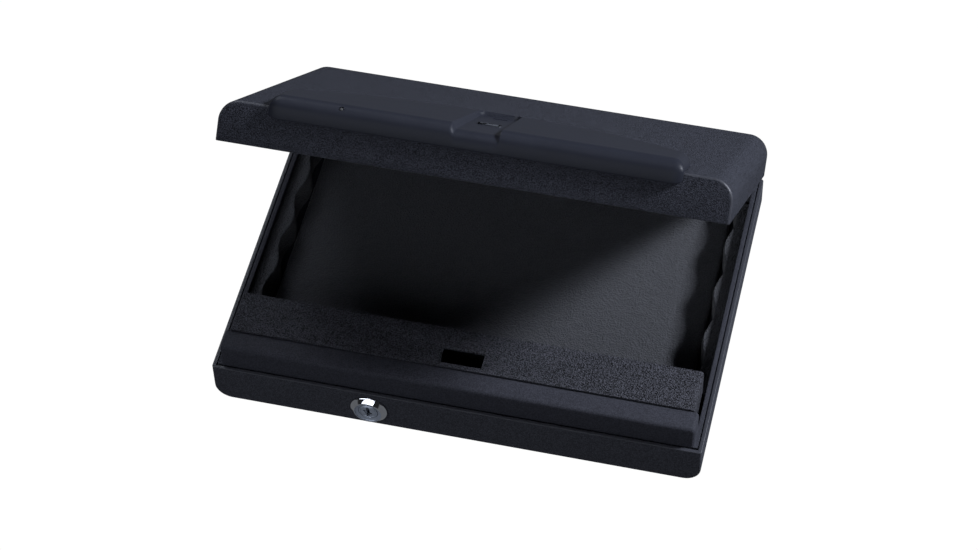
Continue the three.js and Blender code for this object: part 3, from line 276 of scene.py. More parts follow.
def lathe(
    name: str, profile: Sequence[tuple[float, float]], start: Sequence[float], axis: Sequence[float],
    steps: int = 48,
) -> Obj:
    """Spins a profile into a turned piece.

    Args:
        name: The new object's name.
        profile: Radius and height pairs, from one end of the axis to the other.
        start: Where height zero lies.
        axis: The way the heights run.
        steps: How many steps the spin has.

    Returns:
        The turned piece, closed and facing outwards.
    """
    bpy.ops.object.select_all(action="DESELECT")
    bpy.ops.mesh.primitive_plane_add(size=0.001)
    made = bpy.context.object
    made.name = name
    with editing(made, Reach.POINTS):
        bpy.ops.mesh.select_all(action="SELECT")
        bpy.ops.mesh.merge(type="CENTER")
        bpy.ops.transform.translate(value=(profile[0][0], 0, profile[0][1]))
        for (r0, h0), (r1, h1) in zip(profile, profile[1:]):
            bpy.ops.mesh.extrude_vertices_move(TRANSFORM_OT_translate={"value": (r1 - r0, 0, h1 - h0)})
        bpy.ops.mesh.select_all(action="SELECT")
        bpy.ops.mesh.spin(steps=steps, angle=2 * math.pi, center=(0, 0, 0), axis=(0, 0, 1))
        bpy.ops.mesh.select_all(action="SELECT")
        bpy.ops.mesh.remove_doubles(threshold=1e-6)
        bpy.ops.mesh.normals_make_consistent(inside=False)
    turn = Vector((0, 0, 1)).rotation_difference(Vector(axis).normalized()).to_matrix().to_4x4()
    made.data.transform(Matrix.Translation(Vector(start)) @ turn)
    return made


def dome(radius: float, low: float, rise: float) -> list[tuple[float, float]]:
    """The profile of a domed head, from its rim up to the axis."""
    turns = np.linspace(0, math.pi / 2, 8)
    return [(radius * math.cos(t), low + rise * math.sin(t)) for t in turns[:-1]] + [(0.0, low + rise)]


def copied(obj: Obj, name: str) -> Obj:
    """Copies a piece with a mesh of its own.

    Args:
        obj: The piece.
        name: The copy's name.

    Returns:
        The copy.
    """
    made = bpy.data.objects.new(name, obj.data.copy())
    bpy.context.scene.collection.objects.link(made)
    return made


def modified(obj: Obj, kind: str, **settings: object) -> None:
    """Adds a modifier with these settings and applies it.

    Args:
        obj: The piece.
        kind: The modifier's type.
        settings: Its settings, by name.
    """
    only(obj)
    modifier = obj.modifiers.new(kind.title(), kind)
    for key, value in settings.items():
        setattr(modifier, key, value)
    bpy.ops.object.modifier_apply(modifier=modifier.name)


def combined(obj: Obj, other: Obj, cut: Cut) -> None:
    """Joins a second mesh to a piece or cuts it away, and removes the second."""
    modified(obj, "BOOLEAN", operation=cut.value, solver="EXACT", object=other)
    bpy.data.objects.remove(other)


def joined(name: str, pieces: Sequence[Obj]) -> Obj:
    """Puts several meshes into one object.

    Args:
        name: The name of the result.
        pieces: The meshes, which become one.

    Returns:
        The one object.
    """
    bpy.ops.object.select_all(action="DESELECT")
    for piece in pieces:
        piece.select_set(True)
    bpy.context.view_layer.objects.active = pieces[0]
    bpy.ops.object.join()
    made = bpy.context.object
    made.name = name
    return made


def eased(obj: Obj, width: float, segments: int = 3, angle: float = 30) -> None:
    """Rounds every edge sharper than an angle.

    Args:
        obj: The piece.
        width: How wide the rounding is.
        segments: How many faces it has.
        angle: The angle in degrees.
    """
    modified(
        obj, "BEVEL", width=width, segments=segments, limit_method="ANGLE",
        angle_limit=math.radians(angle), use_clamp_overlap=True, miter_outer="MITER_ARC",
    )


def smoothed(obj: Obj, angle: float = 32) -> None:
    """Shades a piece smooth, with edges kept above an angle."""
    only(obj)
    bpy.ops.object.shade_smooth_by_angle(angle=math.radians(angle))


def refined(node: str, name: str, bevel: float, segments: int = 2) -> Obj:
    """Copies a CAD node, joins its loose triangles and eases its edges.

    Args:
        node: The CAD node to copy.
        name: The copy's name.
        bevel: How wide its eased edges are.
        segments: How many faces round each edge.

    Returns:
        The refined copy, at the origin.
    """
    made = copied(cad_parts[node], name)
    made.data.materials.clear()
    if made.data.has_custom_normals:
        only(made)
        bpy.ops.mesh.customdata_custom_splitnormals_clear()
    with editing(made, Reach.POINTS):
        bpy.ops.mesh.select_all(action="SELECT")
        bpy.ops.mesh.remove_doubles(threshold=2e-6)
        bpy.ops.mesh.mark_sharp(clear=True)
        bpy.ops.mesh.dissolve_limited(angle_limit=math.radians(1.5))
    if bevel:
        eased(made, bevel, segments)
    smoothed(made)
    return made


# Finishes

class Bench:
    """A node tree under construction, with one Principled surface."""

    def __init__(self, name: str) -> None:
        """Starts a material with its surface and its object coordinates.

        Args:
            name: The material's name.
        """
        self.material = bpy.data.materials.new(name)
        self.material.use_nodes = True
        self.tree = self.material.node_tree
        self.surface = self.tree.nodes["Principled BSDF"]
        self.place = self.tree.nodes.new("ShaderNodeTexCoord").outputs["Object"]

    def node(self, kind: str, inputs: dict[str, object] | None = None, **settings: object) -> bpy.types.Node:
        """Adds a node.

        Args:
            kind: The node's type, without the ShaderNode in front.
            inputs: Values or sockets for its inputs, by name.
            settings: Its other settings.

        Returns:
            The new node.
        """
        made = self.tree.nodes.new("ShaderNode" + kind)
        for key, value in settings.items():
            setattr(made, key, value)
        for key, value in (inputs or {}).items():
            if isinstance(value, Socket):
                self.tree.links.new(value, made.inputs[key])
            else:
                made.inputs[key].default_value = value
        return made

    def grain(self, scale: float, detail: float = 2, rough: float = 0.5) -> Socket:
        """A noise over the piece, as its 0 to 1 value.

        Args:
            scale: How many lumps there are in a metre.
            detail: How many finer noises lie on the first.
            rough: How strong the finer ones are.

        Returns:
            The value.
        """
        return self.node(
            "TexNoise", {"Vector": self.place, "Scale": scale, "Detail": detail, "Roughness": rough}
        ).outputs["Fac"]

    def cells(self, scale: float) -> Socket:
        """A cell pattern over the piece, as the distance to each cell's middle."""
        return self.node("TexVoronoi", {"Vector": self.place, "Scale": scale}).outputs["Distance"]

    def ramp(
        self, value: Socket, stops: Sequence[tuple[float, Sequence[float]]]
    ) -> Socket:
        """Turns a value into a colour by stops of place and colour.

        Args:
            value: The value.
            stops: A place from 0 to 1 and a colour for each stop.

        Returns:
            The colour.
        """
        made = self.node("ValToRGB", {"Fac": value})
        band = made.color_ramp
        while len(band.elements) < len(stops):
            band.elements.new(0.5)
        for element, (place, colour) in zip(band.elements, stops):
            element.position = place
            element.color = (*colour, 1)
        return made.outputs["Color"]

    def spread(self, value: Socket, low: float, high: float) -> Socket:
        """Maps a 0 to 1 value onto a range."""
        return self.node("MapRange", {"Value": value, "To Min": low, "To Max": high}).outputs["Result"]

    def blended(self, first: Socket, second: Socket, share: float) -> Socket:
        """Mixes two values by the second one's share."""
        return self.node("Mix", {"Factor": share, "A": first, "B": second}).outputs["Result"]

    def bumped(
        self, height: Socket, depth: float, strength: float = 1,
        under: Socket | None = None,
    ) -> Socket:
        """A bump of a given depth in metres, over another bump where one is given.

        Args:
            height: The height, from 0 to 1.
            depth: How deep the bump is.
            strength: How much of it the light feels.
            under: The bump that it lies on.

        Returns:
            The bent normal.
        """
        inputs = {"Height": height, "Distance": depth, "Strength": strength}
        if under is not None:
            inputs["Normal"] = under
        return self.node("Bump", inputs).outputs["Normal"]

    def finished(self, **inputs: object) -> Material:
        """Sets the surface's inputs and hands over the material.

        Args:
            inputs: Values or sockets, by the surface's input name with _ for each space.

        Returns:
            The material.
        """
        for key, value in inputs.items():
            socket = self.surface.inputs[key.replace("_", " ")]
            if isinstance(value, Socket):
                self.tree.links.new(value, socket)
            else:
                socket.default_value = (*value, 1) if isinstance(value, tuple) and len(value) == 3 else value
        return self.material


def shade(colour: Sequence[float], share: float) -> Colour:
    """A colour made lighter or darker by a share."""
    return tuple(min(1.0, c * share) for c in colour)


@dataclass(frozen=True)
class PowderCoat:
    """Textured powder coat on steel: rounded grains, with painted highlight on their tops and painted shade
    in the low spots between them.
    """

    name: str
    colour: Colour
    grain: float = 0.0006
    depth: float = 0.0002
    roughness: float = 0.65
    gloss: float = 0.03
    # The next two darken the coat where its bump sinks and lighten it on the grains' tops: random mottle,
    # with painted shade and painted highlight.
    mottle_and_relief_shading: float = 0.2
    relief_shading: float = 0.0
    patchy: float = 0.1

    def made(self) -> Material:
        """Builds the material.

        Returns:
            The material.
        """
        b = Bench(self.name)
        coarse = b.grain(1 / (self.grain * 7), 2)
        lumps = b.grain(1 / self.grain, 1.5, 0.5)
        pips = b.cells(0.8 / self.grain)
        under = b.bumped(lumps, self.depth)
        normal = b.bumped(b.spread(pips, 1, 0), self.depth * 0.45, 0.8, under)
        # The colour follows the noise that raises the bump: painted shade in its low spots and painted
        # highlight on the grains' tops, over random mottle.
        colour = b.ramp(
            b.blended(lumps, coarse, self.patchy),
            [
                (0.36, shade(self.colour, 1 - self.mottle_and_relief_shading - self.relief_shading)),
                (0.47, shade(self.colour, 1 - self.mottle_and_relief_shading * 0.3)),
                (0.64, shade(self.colour, 1 + self.mottle_and_relief_shading + self.relief_shading)),
            ],
        )
        rough = b.spread(lumps, self.roughness - 0.07, self.roughness + 0.07)
        return b.finished(Base_Color=colour, Roughness=rough, Normal=normal, Specular_IOR_Level=self.gloss)


@dataclass(frozen=True)
class MouldedPlastic:
    """Satin moulded plastic with the faint grain of its mould."""

    name: str
    colour: Colour
    roughness: float
    gloss: float = 0.5
    grain: float = 0.0005
    depth: float = 0.00002

    def made(self) -> Material:
        """Builds the material.

        Returns:
            The material.
        """
        b = Bench(self.name)
        skin = b.grain(1 / self.grain, 2, 0.55)
        handling = b.grain(38, 3, 0.6)
        colour = b.ramp(handling, [(0.35, shade(self.colour, 0.93)), (0.7, shade(self.colour, 1.07))])
        rough = b.spread(handling, self.roughness - 0.05, self.roughness + 0.05)
        return b.finished(
            Base_Color=colour, Roughness=rough, Normal=b.bumped(skin, self.depth),
            Specular_IOR_Level=self.gloss,
        )


class Lay(Enum):
    """How the tool marks of a metal run."""

    RINGS = "rings"
    LINES = "lines"
    NONE = "none"


@dataclass(frozen=True)
class BareMetal:
    """Plated or turned metal, with the marks of its making."""

    name: str
    colour: Colour
    roughness: float
    lay: Lay = Lay.NONE
    centre: Point = (0, 0, 0)
    pitch: float = 0.00025
    depth: float = 0.000004
    metal: float = 1.0

    def made(self) -> Material:
        """Builds the material.

        Returns:
            The material.
        """
        b = Bench(self.name)
        smudge = b.grain(260, 3, 0.6)
        if self.lay is Lay.RINGS:
            where = b.node(
                "Mapping", {"Vector": b.place, "Location": [-c for c in self.centre]}
            ).outputs["Vector"]
            marks = b.node(
                "TexWave", {"Vector": where, "Scale": 0.31 / self.pitch, "Distortion": 0.6, "Detail": 2},
                wave_type="RINGS", rings_direction="Y",
            ).outputs["Fac"]
        elif self.lay is Lay.LINES:
            where = b.node("Mapping", {"Vector": b.place, "Scale": (0.08, 1, 1)}).outputs["Vector"]
            marks = b.node(
                "TexNoise", {"Vector": where, "Scale": 1 / self.pitch, "Detail": 3}
            ).outputs["Fac"]
        else:
            marks = smudge
        colour = b.ramp(smudge, [(0.3, shade(self.colour, 0.86)), (0.75, shade(self.colour, 1.04))])
        rough = b.spread(smudge, self.roughness * 0.75, self.roughness * 1.25)
        return b.finished(
            Base_Color=colour, Roughness=rough, Metallic=self.metal, Normal=b.bumped(marks, self.depth)
        )


@dataclass(frozen=True)
class OpenCellFoam:
    """Charcoal foam whose cut face shows its cells, with painted shade in their pores."""

    name: str
    colour: Colour
    cell: float = 0.0009

    def made(self) -> Material:
        """Builds the material.

        Returns:
            The material.
        """
        b = Bench(self.name)
        pores = b.cells(1 / self.cell)
        soft = b.grain(1 / (self.cell * 5), 3, 0.6)
        # Painted shade: the colour darkens towards each cell's middle, where the bump sinks into a pore.
        colour = b.ramp(pores, [(0.05, shade(self.colour, 0.35)), (0.5, self.colour)])
        normal = b.bumped(b.spread(pores, 0, 1), self.cell * 0.55, 0.9, b.bumped(soft, self.cell * 0.4))
        return b.finished(
            Base_Color=colour, Roughness=0.95, Normal=normal, Specular_IOR_Level=0.15,
            Sheen_Weight=0.08, Sheen_Roughness=0.5,
        )


@dataclass(frozen=True)
class Lacquer:
    """A smooth coloured coat, such as solder mask, a battery's jacket or varnish."""

    name: str
    colour: Colour
    second: Colour
    scale: float
    roughness: float
    coat: float
    bands: bool = False

    def made(self) -> Material:
        """Builds the material.

        Returns:
            The material.
        """
        b = Bench(self.name)
        if self.bands:
            value = b.node(
                "TexWave", {"Vector": b.place, "Scale": self.scale, "Distortion": 0.4, "Detail": 1}
            ).outputs["Fac"]
        else:
            value = b.grain(self.scale, 4, 0.6)
        colour = b.ramp(value, [(0.42, self.colour), (0.6, self.second)])
        return b.finished(
            Base_Color=colour, Roughness=b.spread(value, self.roughness, self.roughness * 1.3),
            Normal=b.bumped(value, 0.00005, 0.6), Coat_Weight=self.coat,
        )


class Finishes:
    """Every finish of the safe, built once and shared by the pieces."""

    def __init__(self) -> None:
        """Builds the materials."""
        # Each powder coat's mottle paints shade in its low spots and highlight on its grains' tops, besides
        # random tone.
        self.shell = PowderCoat("shell_powder_coat", (0.0242, 0.0247, 0.0296), mottle_and_relief_shading=0.4).made()
        self.lid = PowderCoat(
            "lid_powder_coat", (0.0172, 0.0179, 0.0226), grain=0.00055, depth=0.00034, mottle_and_relief_shading=0.55,
            relief_shading=0.2,
        ).made()
        self.plate = PowderCoat(
            "plate_powder_coat", (0.019, 0.0192, 0.0233), grain=0.0007, depth=0.001, roughness=0.62,
            gloss=0.08, mottle_and_relief_shading=0.55, relief_shading=0.42,
        ).made()
        self.strip = PowderCoat(
            "frame_powder_coat", (0.0185, 0.0189, 0.0235), depth=0.0001, roughness=0.6, mottle_and_relief_shading=0.3
        ).made()
        # Painted highlight: a glossier edge coat, lighter than the lid's, for the highlight lines along the
        # base's rim and the lid's front fold.
        self.edge = PowderCoat(
            "edge_highlight_powder_coat", (0.0205, 0.021, 0.0258), depth=0.00006, roughness=0.45, gloss=0.18,
            mottle_and_relief_shading=0.15,
        ).made()
        self.hinge = PowderCoat(
            "hinge_powder_coat", (0.012, 0.012, 0.0135), depth=0.0001, roughness=0.55, gloss=0.3
        ).made()
        self.cover = MouldedPlastic(
            "cover_satin_plastic", (0.01, 0.0108, 0.0152), roughness=0.44, gloss=0.07
        ).made()
        self.tray = MouldedPlastic("tray_black_plastic", (0.018, 0.018, 0.02), roughness=0.5).made()
        self.chrome = BareMetal("lock_chrome", (0.72, 0.73, 0.76), roughness=0.05).made()
        self.face = BareMetal(
            "lock_satin_face", (0.25, 0.275, 0.325), roughness=0.42, lay=Lay.RINGS, centre=(-0.049, 0, 0.014),
            pitch=0.0004, depth=0.00001, metal=0.55,
        ).made()
        self.zinc = BareMetal("zinc_plate", (0.62, 0.64, 0.66), roughness=0.28).made()
        self.drawn = BareMetal(
            "bright_drawn_steel", (0.56, 0.57, 0.6), roughness=0.24, lay=Lay.LINES, pitch=0.0003
        ).made()
        self.foam = OpenCellFoam("charcoal_foam", (0.024, 0.0244, 0.028)).made()
        self.winding = Lacquer(
            "varnished_winding", (0.30, 0.085, 0.025), (0.2, 0.05, 0.015), scale=900, roughness=0.25,
            coat=0.6, bands=True,
        ).made()
        self.mask = Lacquer(
            "green_solder_mask", (0.012, 0.075, 0.03), (0.02, 0.12, 0.05), scale=420, roughness=0.3, coat=0.5
        ).made()
        self.jacket = Lacquer(
            "battery_jacket", (0.11, 0.14, 0.05), (0.13, 0.165, 0.06), scale=60, roughness=0.32, coat=0.4
        ).made()
        self.sensor = BareMetal(
            "sensor_strip", (0.045, 0.048, 0.058), roughness=0.55, lay=Lay.LINES, pitch=0.0004, metal=0.25
        ).made()
        self.lamp = Lacquer(
            "lamp_lens", (0.006, 0.006, 0.007), (0.009, 0.009, 0.01), scale=300, roughness=0.6, coat=0.05
        ).made()


def hand_over(obj: Obj, body: Body, finish: Material, node: str) -> None:
    """Gives a finished piece its material, its body and the CAD node that it stands for.

    Args:
        obj: The finished piece.
        body: The body it rides on.
        finish: Its material, put on unless it already has some.
        node: The CAD node that it replaces.
    """
    if not obj.data.materials:
        obj.data.materials.append(finish)
    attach(obj, body.value)
    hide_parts(node)
    log.info("%s rides on %s, %d faces, for %s", obj.name, body.value, len(obj.data.polygons), node)


def with_edge_highlight(
    obj: Obj, finish: Material, edge: Material,
    test: Callable[[bpy.types.MeshPolygon], bool],
) -> None:
    """Gives a coated piece its finish, with a thinner, rubbed coat on its edges.

    Args:
        obj: The piece.
        finish: Its finish.
        edge: The finish of its edges, the glossy coat of the painted highlight.
        test: Says whether a face belongs to an edge.
    """
    obj.data.materials.append(finish)
    obj.data.materials.append(edge)
    for face in obj.data.polygons:
        face.material_index = int(test(face))


# Folded steel

@dataclass(frozen=True)
class FoldedTray:
    """A tray folded from one sheet, with round long edges, tight end folds and a hemmed rim."""

    name: str
    rim: float
    closed: float
    corner: float
    fold: float
    hem_round: float = 0.0009

    def solid(self) -> Obj:
        """The outside of the tray as a solid block with its folds.

        Returns:
            The block.
        """
        s = SAFE
        low, high = sorted((self.rim, self.closed))
        block = cube(self.name, (-s.half, s.front, low), (s.half, s.back, high))
        rounded(block, self.corner, 14, lambda e: along(e, 1) and lies_at(e, 2, self.closed))
        rounded(
            block, self.fold, 5,
            lambda e: (lies_at(e, 1, s.front) or lies_at(e, 1, s.back)) and not lies_at(e, 2, self.rim),
        )
        return block

    def cavity(self) -> Obj:
        """The space inside the walls, which stops short of the hem.

        Returns:
            The space as a solid.
        """
        s = SAFE
        up = 1 if self.closed > self.rim else -1
        below_hem = self.rim + up * s.hem_depth
        inner = self.closed - up * s.sheet
        low, high = sorted((below_hem, inner))
        space = cube(
            "cavity", (s.sheet - s.half, s.front + s.sheet, low), (s.half - s.sheet, s.back - s.sheet, high)
        )
        rounded(space, self.corner - s.sheet, 14, lambda e: along(e, 1) and lies_at(e, 2, inner))
        rounded(
            space, self.fold - s.sheet, 3,
            lambda e: (lies_at(e, 1, s.front + s.sheet) or lies_at(e, 1, s.back - s.sheet))
            and not lies_at(e, 2, below_hem),
        )
        return space

    def made(self, holes: Sequence[Obj]) -> Obj:
        """Builds the tray.

        Args:
            holes: Cutters for its holes, which are used up.

        Returns:
            The tray, with its lid or floor side closed.
        """
        s = SAFE
        up = 1 if self.closed > self.rim else -1
        tray = self.solid()
        combined(tray, self.cavity(), Cut.AWAY)
        low, high = sorted((self.rim - up * 0.001, self.rim + up * (s.hem_depth + 0.001)))
        mouth = cube(
            "mouth", (s.hem - s.half, s.front + s.hem, low), (s.half - s.hem, s.back - s.hem, high)
        )
        combined(tray, mouth, Cut.AWAY)
        if holes:
            combined(tray, joined("holes", holes), Cut.AWAY)
        rounded(tray, self.hem_round, 4, lambda e: lies_at(e, 2, self.rim) and not e.is_boundary)
        smoothed(tray, 28)
        return tray


@dataclass
class BaseShell:
    """The folded base: its shell, the inner frame with the riser, and the latch cover."""

    finishes: Finishes
    corner: float = 0.010
    fold: float = 0.0016
    lock: tuple[float, float] = (-0.049, 0.014)
    lock_hole: float = 0.0093

    def shell(self) -> Obj:
        """Models the outer tray with its lock, screw and rivet holes.

        Returns:
            The tray.
        """
        s = SAFE
        x, z = self.lock
        holes = [rod("hole", self.lock_hole, (x, s.front - 0.001, z), BACK, 0.006, 40)]
        holes += [rod("hole", s.screw_hole, (k, s.foot_y, -0.001), UP, 0.0035) for k in s.foot_screws]
        rivets = [(k, s.back - 0.004, s.base_rivet_z) for k in s.rivets]
        holes += [rod("hole", s.rivet_hole, rivet, BACK, 0.008) for rivet in rivets]
        return FoldedTray("folded_base", s.rim, 0.0, self.corner, self.fold).made(holes)

    def build(self) -> None:
        """Builds and dresses the base's steel."""
        f = self.finishes
        shell = self.shell()
        # Painted highlight: the faces on top of the rolled rim get the glossier edge coat.
        on_rim = SAFE.rim - FoldedTray.hem_round
        with_edge_highlight(shell, f.shell, f.edge, lambda face: face.center.z > on_rim and face.normal.z > 0.1)
        hand_over(shell, Body.BASE, f.shell, "base_shell")
        frame_piece = refined("inner_frame", "frame_with_riser", 0.00035)
        hand_over(frame_piece, Body.BASE, f.strip, "inner_frame")
        plate = refined("latch_cover", "latch_cover_plate", 0.0003)
        hand_over(plate, Body.BASE, f.plate, "latch_cover")


@dataclass
class LidShell:
    """The folded lid."""

    finishes: Finishes
    corner: float = 0.012
    fold: float = 0.0017
    wire: tuple[float, float] = (-0.0005, -0.056)
    wire_hole: float = 0.003

    def on_fold(self, face: bpy.types.MeshPolygon) -> bool:
        """Whether a face lies on the fold along the lid's front edge."""
        turned = 0.25 < -face.normal.y < 0.97
        return turned and face.center.y < SAFE.front + self.fold and face.center.z > SAFE.lid_rim

    def build(self) -> None:
        """Builds the lid shut, opens it and dresses it."""
        s, f = SAFE, self.finishes
        top = s.lid_top - 0.004
        drilled = [(s.screw_hole, x, y) for x, y in s.studs]
        drilled += [(s.screw_hole, x, s.slot_y) for x in s.striker_screws]
        drilled.append((self.wire_hole, *self.wire))
        holes = [rod("hole", radius, (x, y, top), UP, 0.006) for radius, x, y in drilled]
        rivets = [(x, s.back - 0.004, s.lid_rivet_z) for x in s.rivets]
        holes += [rod("hole", s.rivet_hole, rivet, BACK, 0.008) for rivet in rivets]
        lid = FoldedTray("folded_lid", s.lid_rim, s.lid_top, self.corner, self.fold).made(holes)
        # Painted highlight: the faces of the lid's front fold get the edge coat, lighter than the lid's own.
        with_edge_highlight(lid, f.lid, f.edge, self.on_fold)
        lid.data.transform(s.opening)
        hand_over(lid, Body.LID, f.lid, "lid_shell")


# Moulded cover

@dataclass
class LidCover:
    """The moulded cover across the lid, with its finger bay, sensor and lamp."""

    finishes: Finishes
    half: float = 0.1125
    proud: float = 0.003
    height: float = 0.0066
    lip: float = 0.0066
    nose: float = 0.007
    wall: float = 0.0024
    end: float = 0.0065
    mid_depth: float = 0.072
    end_depth: float = 0.032
    bow: float = 2.4
    tail: float = 0.007
    bay_x: float = -0.0005
    bay_width: float = 0.0285
    bay_left: float = -0.0128
    bay_right: float = 0.0133
    bay_lean: float = 0.0024
    bay_rise: float = 0.25
    bay_length: float = 0.066
    bay_depth: float = 0.0032
    bay_corner: float = 0.005
    bay_floor: float = 0.0016
    soft_front: float = 0.0036
    soft_back: float = 0.002
    crisp: float = 0.0008
    rear_slope: float = 0.0016
    sensor_width: float = 0.0126
    sensor_depth: float = 0.0044
    sensor_x: float = 0.0013
    sensor_setback: float = 0.034
    rib_x: float = 0.003
    rib_setback: float = 0.058
    rib_width: float = 0.008
    rib_height: float = 0.0006
    rib_depth: float = 0.0016
    sensor_round: float = 0.0006
    seat_round: float = 0.0024
    seat: float = 0.006
    sunk: float = 0.002
    lip_round: float = 0.0008
    least_step: float = 0.00012
    stud_radius: float = 0.0036
    lamp_x: float = -0.073
    lamp_radius: float = 0.0011
    lamp_root: float = 0.003
    sweep: float = 1.2
    tail_fall: float = 0.72
    flat_stops: tuple[float, ...] = tuple(float(k) for k in np.linspace(0, 1, 72)[1:-1])

    @property
    def sensor_y(self) -> float:
        """Where the sensor's bar lies."""
        return SAFE.front + self.sensor_setback

    def inward(self, y: float) -> float:
        """How far back in the bay a place lies, from 0 at the nose to 1 at its back wall."""
        return min(1.0, max(0.0, (y - (SAFE.front - self.proud)) / self.bay_length))

    def drop(self, y: float) -> float:
        """How deep the bay's floor lies, which rises towards the back."""
        depth = self.inward(y)
        return self.bay_depth * (1 - self.bay_rise * depth * depth)

    def floor_z(self, y: float) -> float:
        """The height of the bay's floor."""
        return SAFE.lid_top + self.height - self.drop(y)

    @property
    def lamp_seat(self) -> Point:
        """The middle of the nose's rounding at the lamp."""
        s = SAFE
        return (self.lamp_x, s.front - self.proud + self.nose, s.lid_top + self.height - self.nose)

    def swell(self, x: float, half: float, end: float) -> float:
        """How far the section has grown from an end: near 0 at the end, 1 along the middle."""
        over = max(0.0, abs(x) - (half - end)) / end
        return math.sqrt(max(0.012, 1 - over * over))

    def section(self, x: float, half: float, inset: float, arc_steps: int, tail_steps: int) -> list[Point]:
        """The closed outline of the cover across one station.

        Args:
            x: The station.
            half: Half the cover's width.
            inset: How far inside the skin the outline lies.
            arc_steps: Steps round the nose.
            tail_steps: Steps along the soft back edge.

        Returns:
            The outline's points, from the lip round the nose to the back and home underneath.
        """
        s = SAFE
        end = self.end - inset / 2
        grown = self.swell(x, half, end)
        share = min(1.0, abs(x) / half)
        far = s.front + self.end_depth + (self.mid_depth - self.end_depth) * (1 - share**self.bow)
        front = s.front - (self.proud - inset) * grown
        top = s.lid_top + (self.height - inset) * grown
        lip = s.lid_top - self.lip * (0.55 + 0.45 * grown) + inset
        back = far - (1 - grown) * end * self.sweep - inset
        nose = (self.nose - inset) * grown
        tail = self.tail * grown
        bottom = s.lid_top - self.sunk
        r, cut = self.lip_round * grown, 0.00023 * grown
        points = [(s.front + self.seat, lip), (front + r, lip), (front + cut, lip + cut), (front, lip + r)]
        for i in range(arc_steps + 1):
            a = math.pi - i * math.pi / 2 / arc_steps
            points.append((front + nose + nose * math.cos(a), top - nose + nose * math.sin(a)))
        flat_from, flat_to = front + nose, back - tail
        points += [(flat_from + (flat_to - flat_from) * k, top) for k in self.flat_stops]
        for i in range(tail_steps + 1):
            t = i * math.pi / 2 / tail_steps
            fall = (top - bottom) * (1 - math.cos(t)) * self.tail_fall
            points.append((back - tail * (1 - math.sin(t)), top - fall))
        points += [(back, bottom), (s.front + self.seat, bottom)]
        return [(x, y, z) for y, z in points]

    def stations(self, half: float, inset: float, fine: bool) -> list[float]:
        """Stations across the cover, close together at its ends and at the bay's walls.

        Args:
            half: Half the cover's width.
            inset: How far inside the skin they are for.
            fine: Whether the bay's walls get stations of their own.

        Returns:
            Their places from left to right, none closer than the least step.
        """
        end = self.end - inset / 2
        ends = [half - end * (1 - math.sin(i * math.pi / 2 / 12)) for i in range(13)]
        places = set(ends) | {-e for e in ends}
        places |= set(np.linspace(-(half - end), half - end, 60 if fine else 22))
        if fine:
            for low, high, step in (
                (self.bay_left - 0.004, self.bay_left + self.bay_lean + 0.005, 0.00035),
                (self.bay_right - 0.003, self.bay_right + 0.003, 0.0003),
                (self.bay_x - 0.009, self.bay_x + 0.0091, 0.0015),
            ):
                places |= set(np.arange(low, high, step))
        ordered = sorted(float(p) for p in places)
        kept = [ordered[0]]
        for place in ordered[1:]:
            if place - kept[-1] > self.least_step:
                kept.append(place)
        return kept

    def loft(self, name: str, half: float, inset: float, fine: bool) -> Obj:
        """Skins the sections into one closed body, from a grid whose points are moved to them.

        Args:
            name: The new object's name.
            half: Half the body's width.
            inset: How far inside the skin it lies.
            fine: Whether it gets the close stations of the visible skin.

        Returns:
            The closed body.
        """
        arc_steps, tail_steps = (16, 12) if fine else (8, 6)
        rows = [self.section(x, half, inset, arc_steps, tail_steps) for x in self.stations(half, inset, fine)]
        count = len(rows[0])
        bpy.ops.object.select_all(action="DESELECT")
        bpy.ops.mesh.primitive_grid_add(x_subdivisions=len(rows) - 1, y_subdivisions=count, size=1)
        body = bpy.context.object
        body.name = name
        for v in body.data.vertices:
            i = round((v.co.x + 0.5) * (len(rows) - 1))
            j = round((v.co.y + 0.5) * count) % count
            v.co = rows[i][j]
        with editing(body, Reach.POINTS):
            bpy.ops.mesh.select_all(action="SELECT")
            bpy.ops.mesh.remove_doubles(threshold=1e-6)
            bpy.ops.mesh.select_all(action="DESELECT")
            pick_open_edges()
            bpy.ops.mesh.edge_face_add()
        with editing(body, Reach.POINTS):
            pick_open_edges()
            bpy.ops.mesh.fill_holes(sides=0)
            bpy.ops.mesh.select_all(action="SELECT")
            bpy.ops.mesh.normals_make_consistent(inside=False)
        return body

    def bay_share(self, x: float, y: float) -> float:
        """How much of the bay's depth a place on the skin has.

        The left wall is a wide soft slope that narrows towards the back, the right wall is a crisp
        step, and the back wall lies between them.

        Args:
            x: The place across the cover.
            y: The place from front to back.

        Returns:
            0 outside the bay and 1 on its floor.
        """
        rear = SAFE.front + self.bay_length
        depth = self.inward(y)
        left, right = self.bay_left + self.bay_lean * depth, self.bay_right
        soft = self.soft_front * (1 - depth) + self.soft_back * depth
        r = self.bay_corner
        from_left, from_right, from_rear = x - left, right - x, rear - y
        if from_rear < r and min(from_left, from_right) < r:
            side = min(from_left, from_right)
            inside = r - math.hypot(r - side, r - from_rear)
        else:
            inside = min(from_left, from_right, from_rear)
        turn = min(1.0, max(0.0, (x - left) / (right - left)))
        across = soft * (1 - turn) ** 2 + self.crisp * (1 - (1 - turn) ** 2)
        if from_rear < min(from_left, from_right) + r:
            across = max(across, self.rear_slope)
        t = min(1.0, max(0.0, inside / across + (0.5 if turn > 0.5 else 0.35)))
        return t * t * (3 - 2 * t)

    def skin(self) -> Obj:
        """The outside of the cover with the finger bay pressed into it.

        Returns:
            The closed skin.
        """
        s = SAFE
        body = self.loft("lid_cover", self.half, 0.0, True)
        seat_z = s.lid_top + self.height - self.nose
        for v in body.data.vertices:
            x, y, z = v.co
            if z < seat_z or abs(x - self.bay_x) > self.bay_width:
                continue
            fade = min(1.0, (z - seat_z) / self.nose) ** 0.7
            v.co.z = z - self.drop(y) * self.bay_share(x, y) * fade
        return body

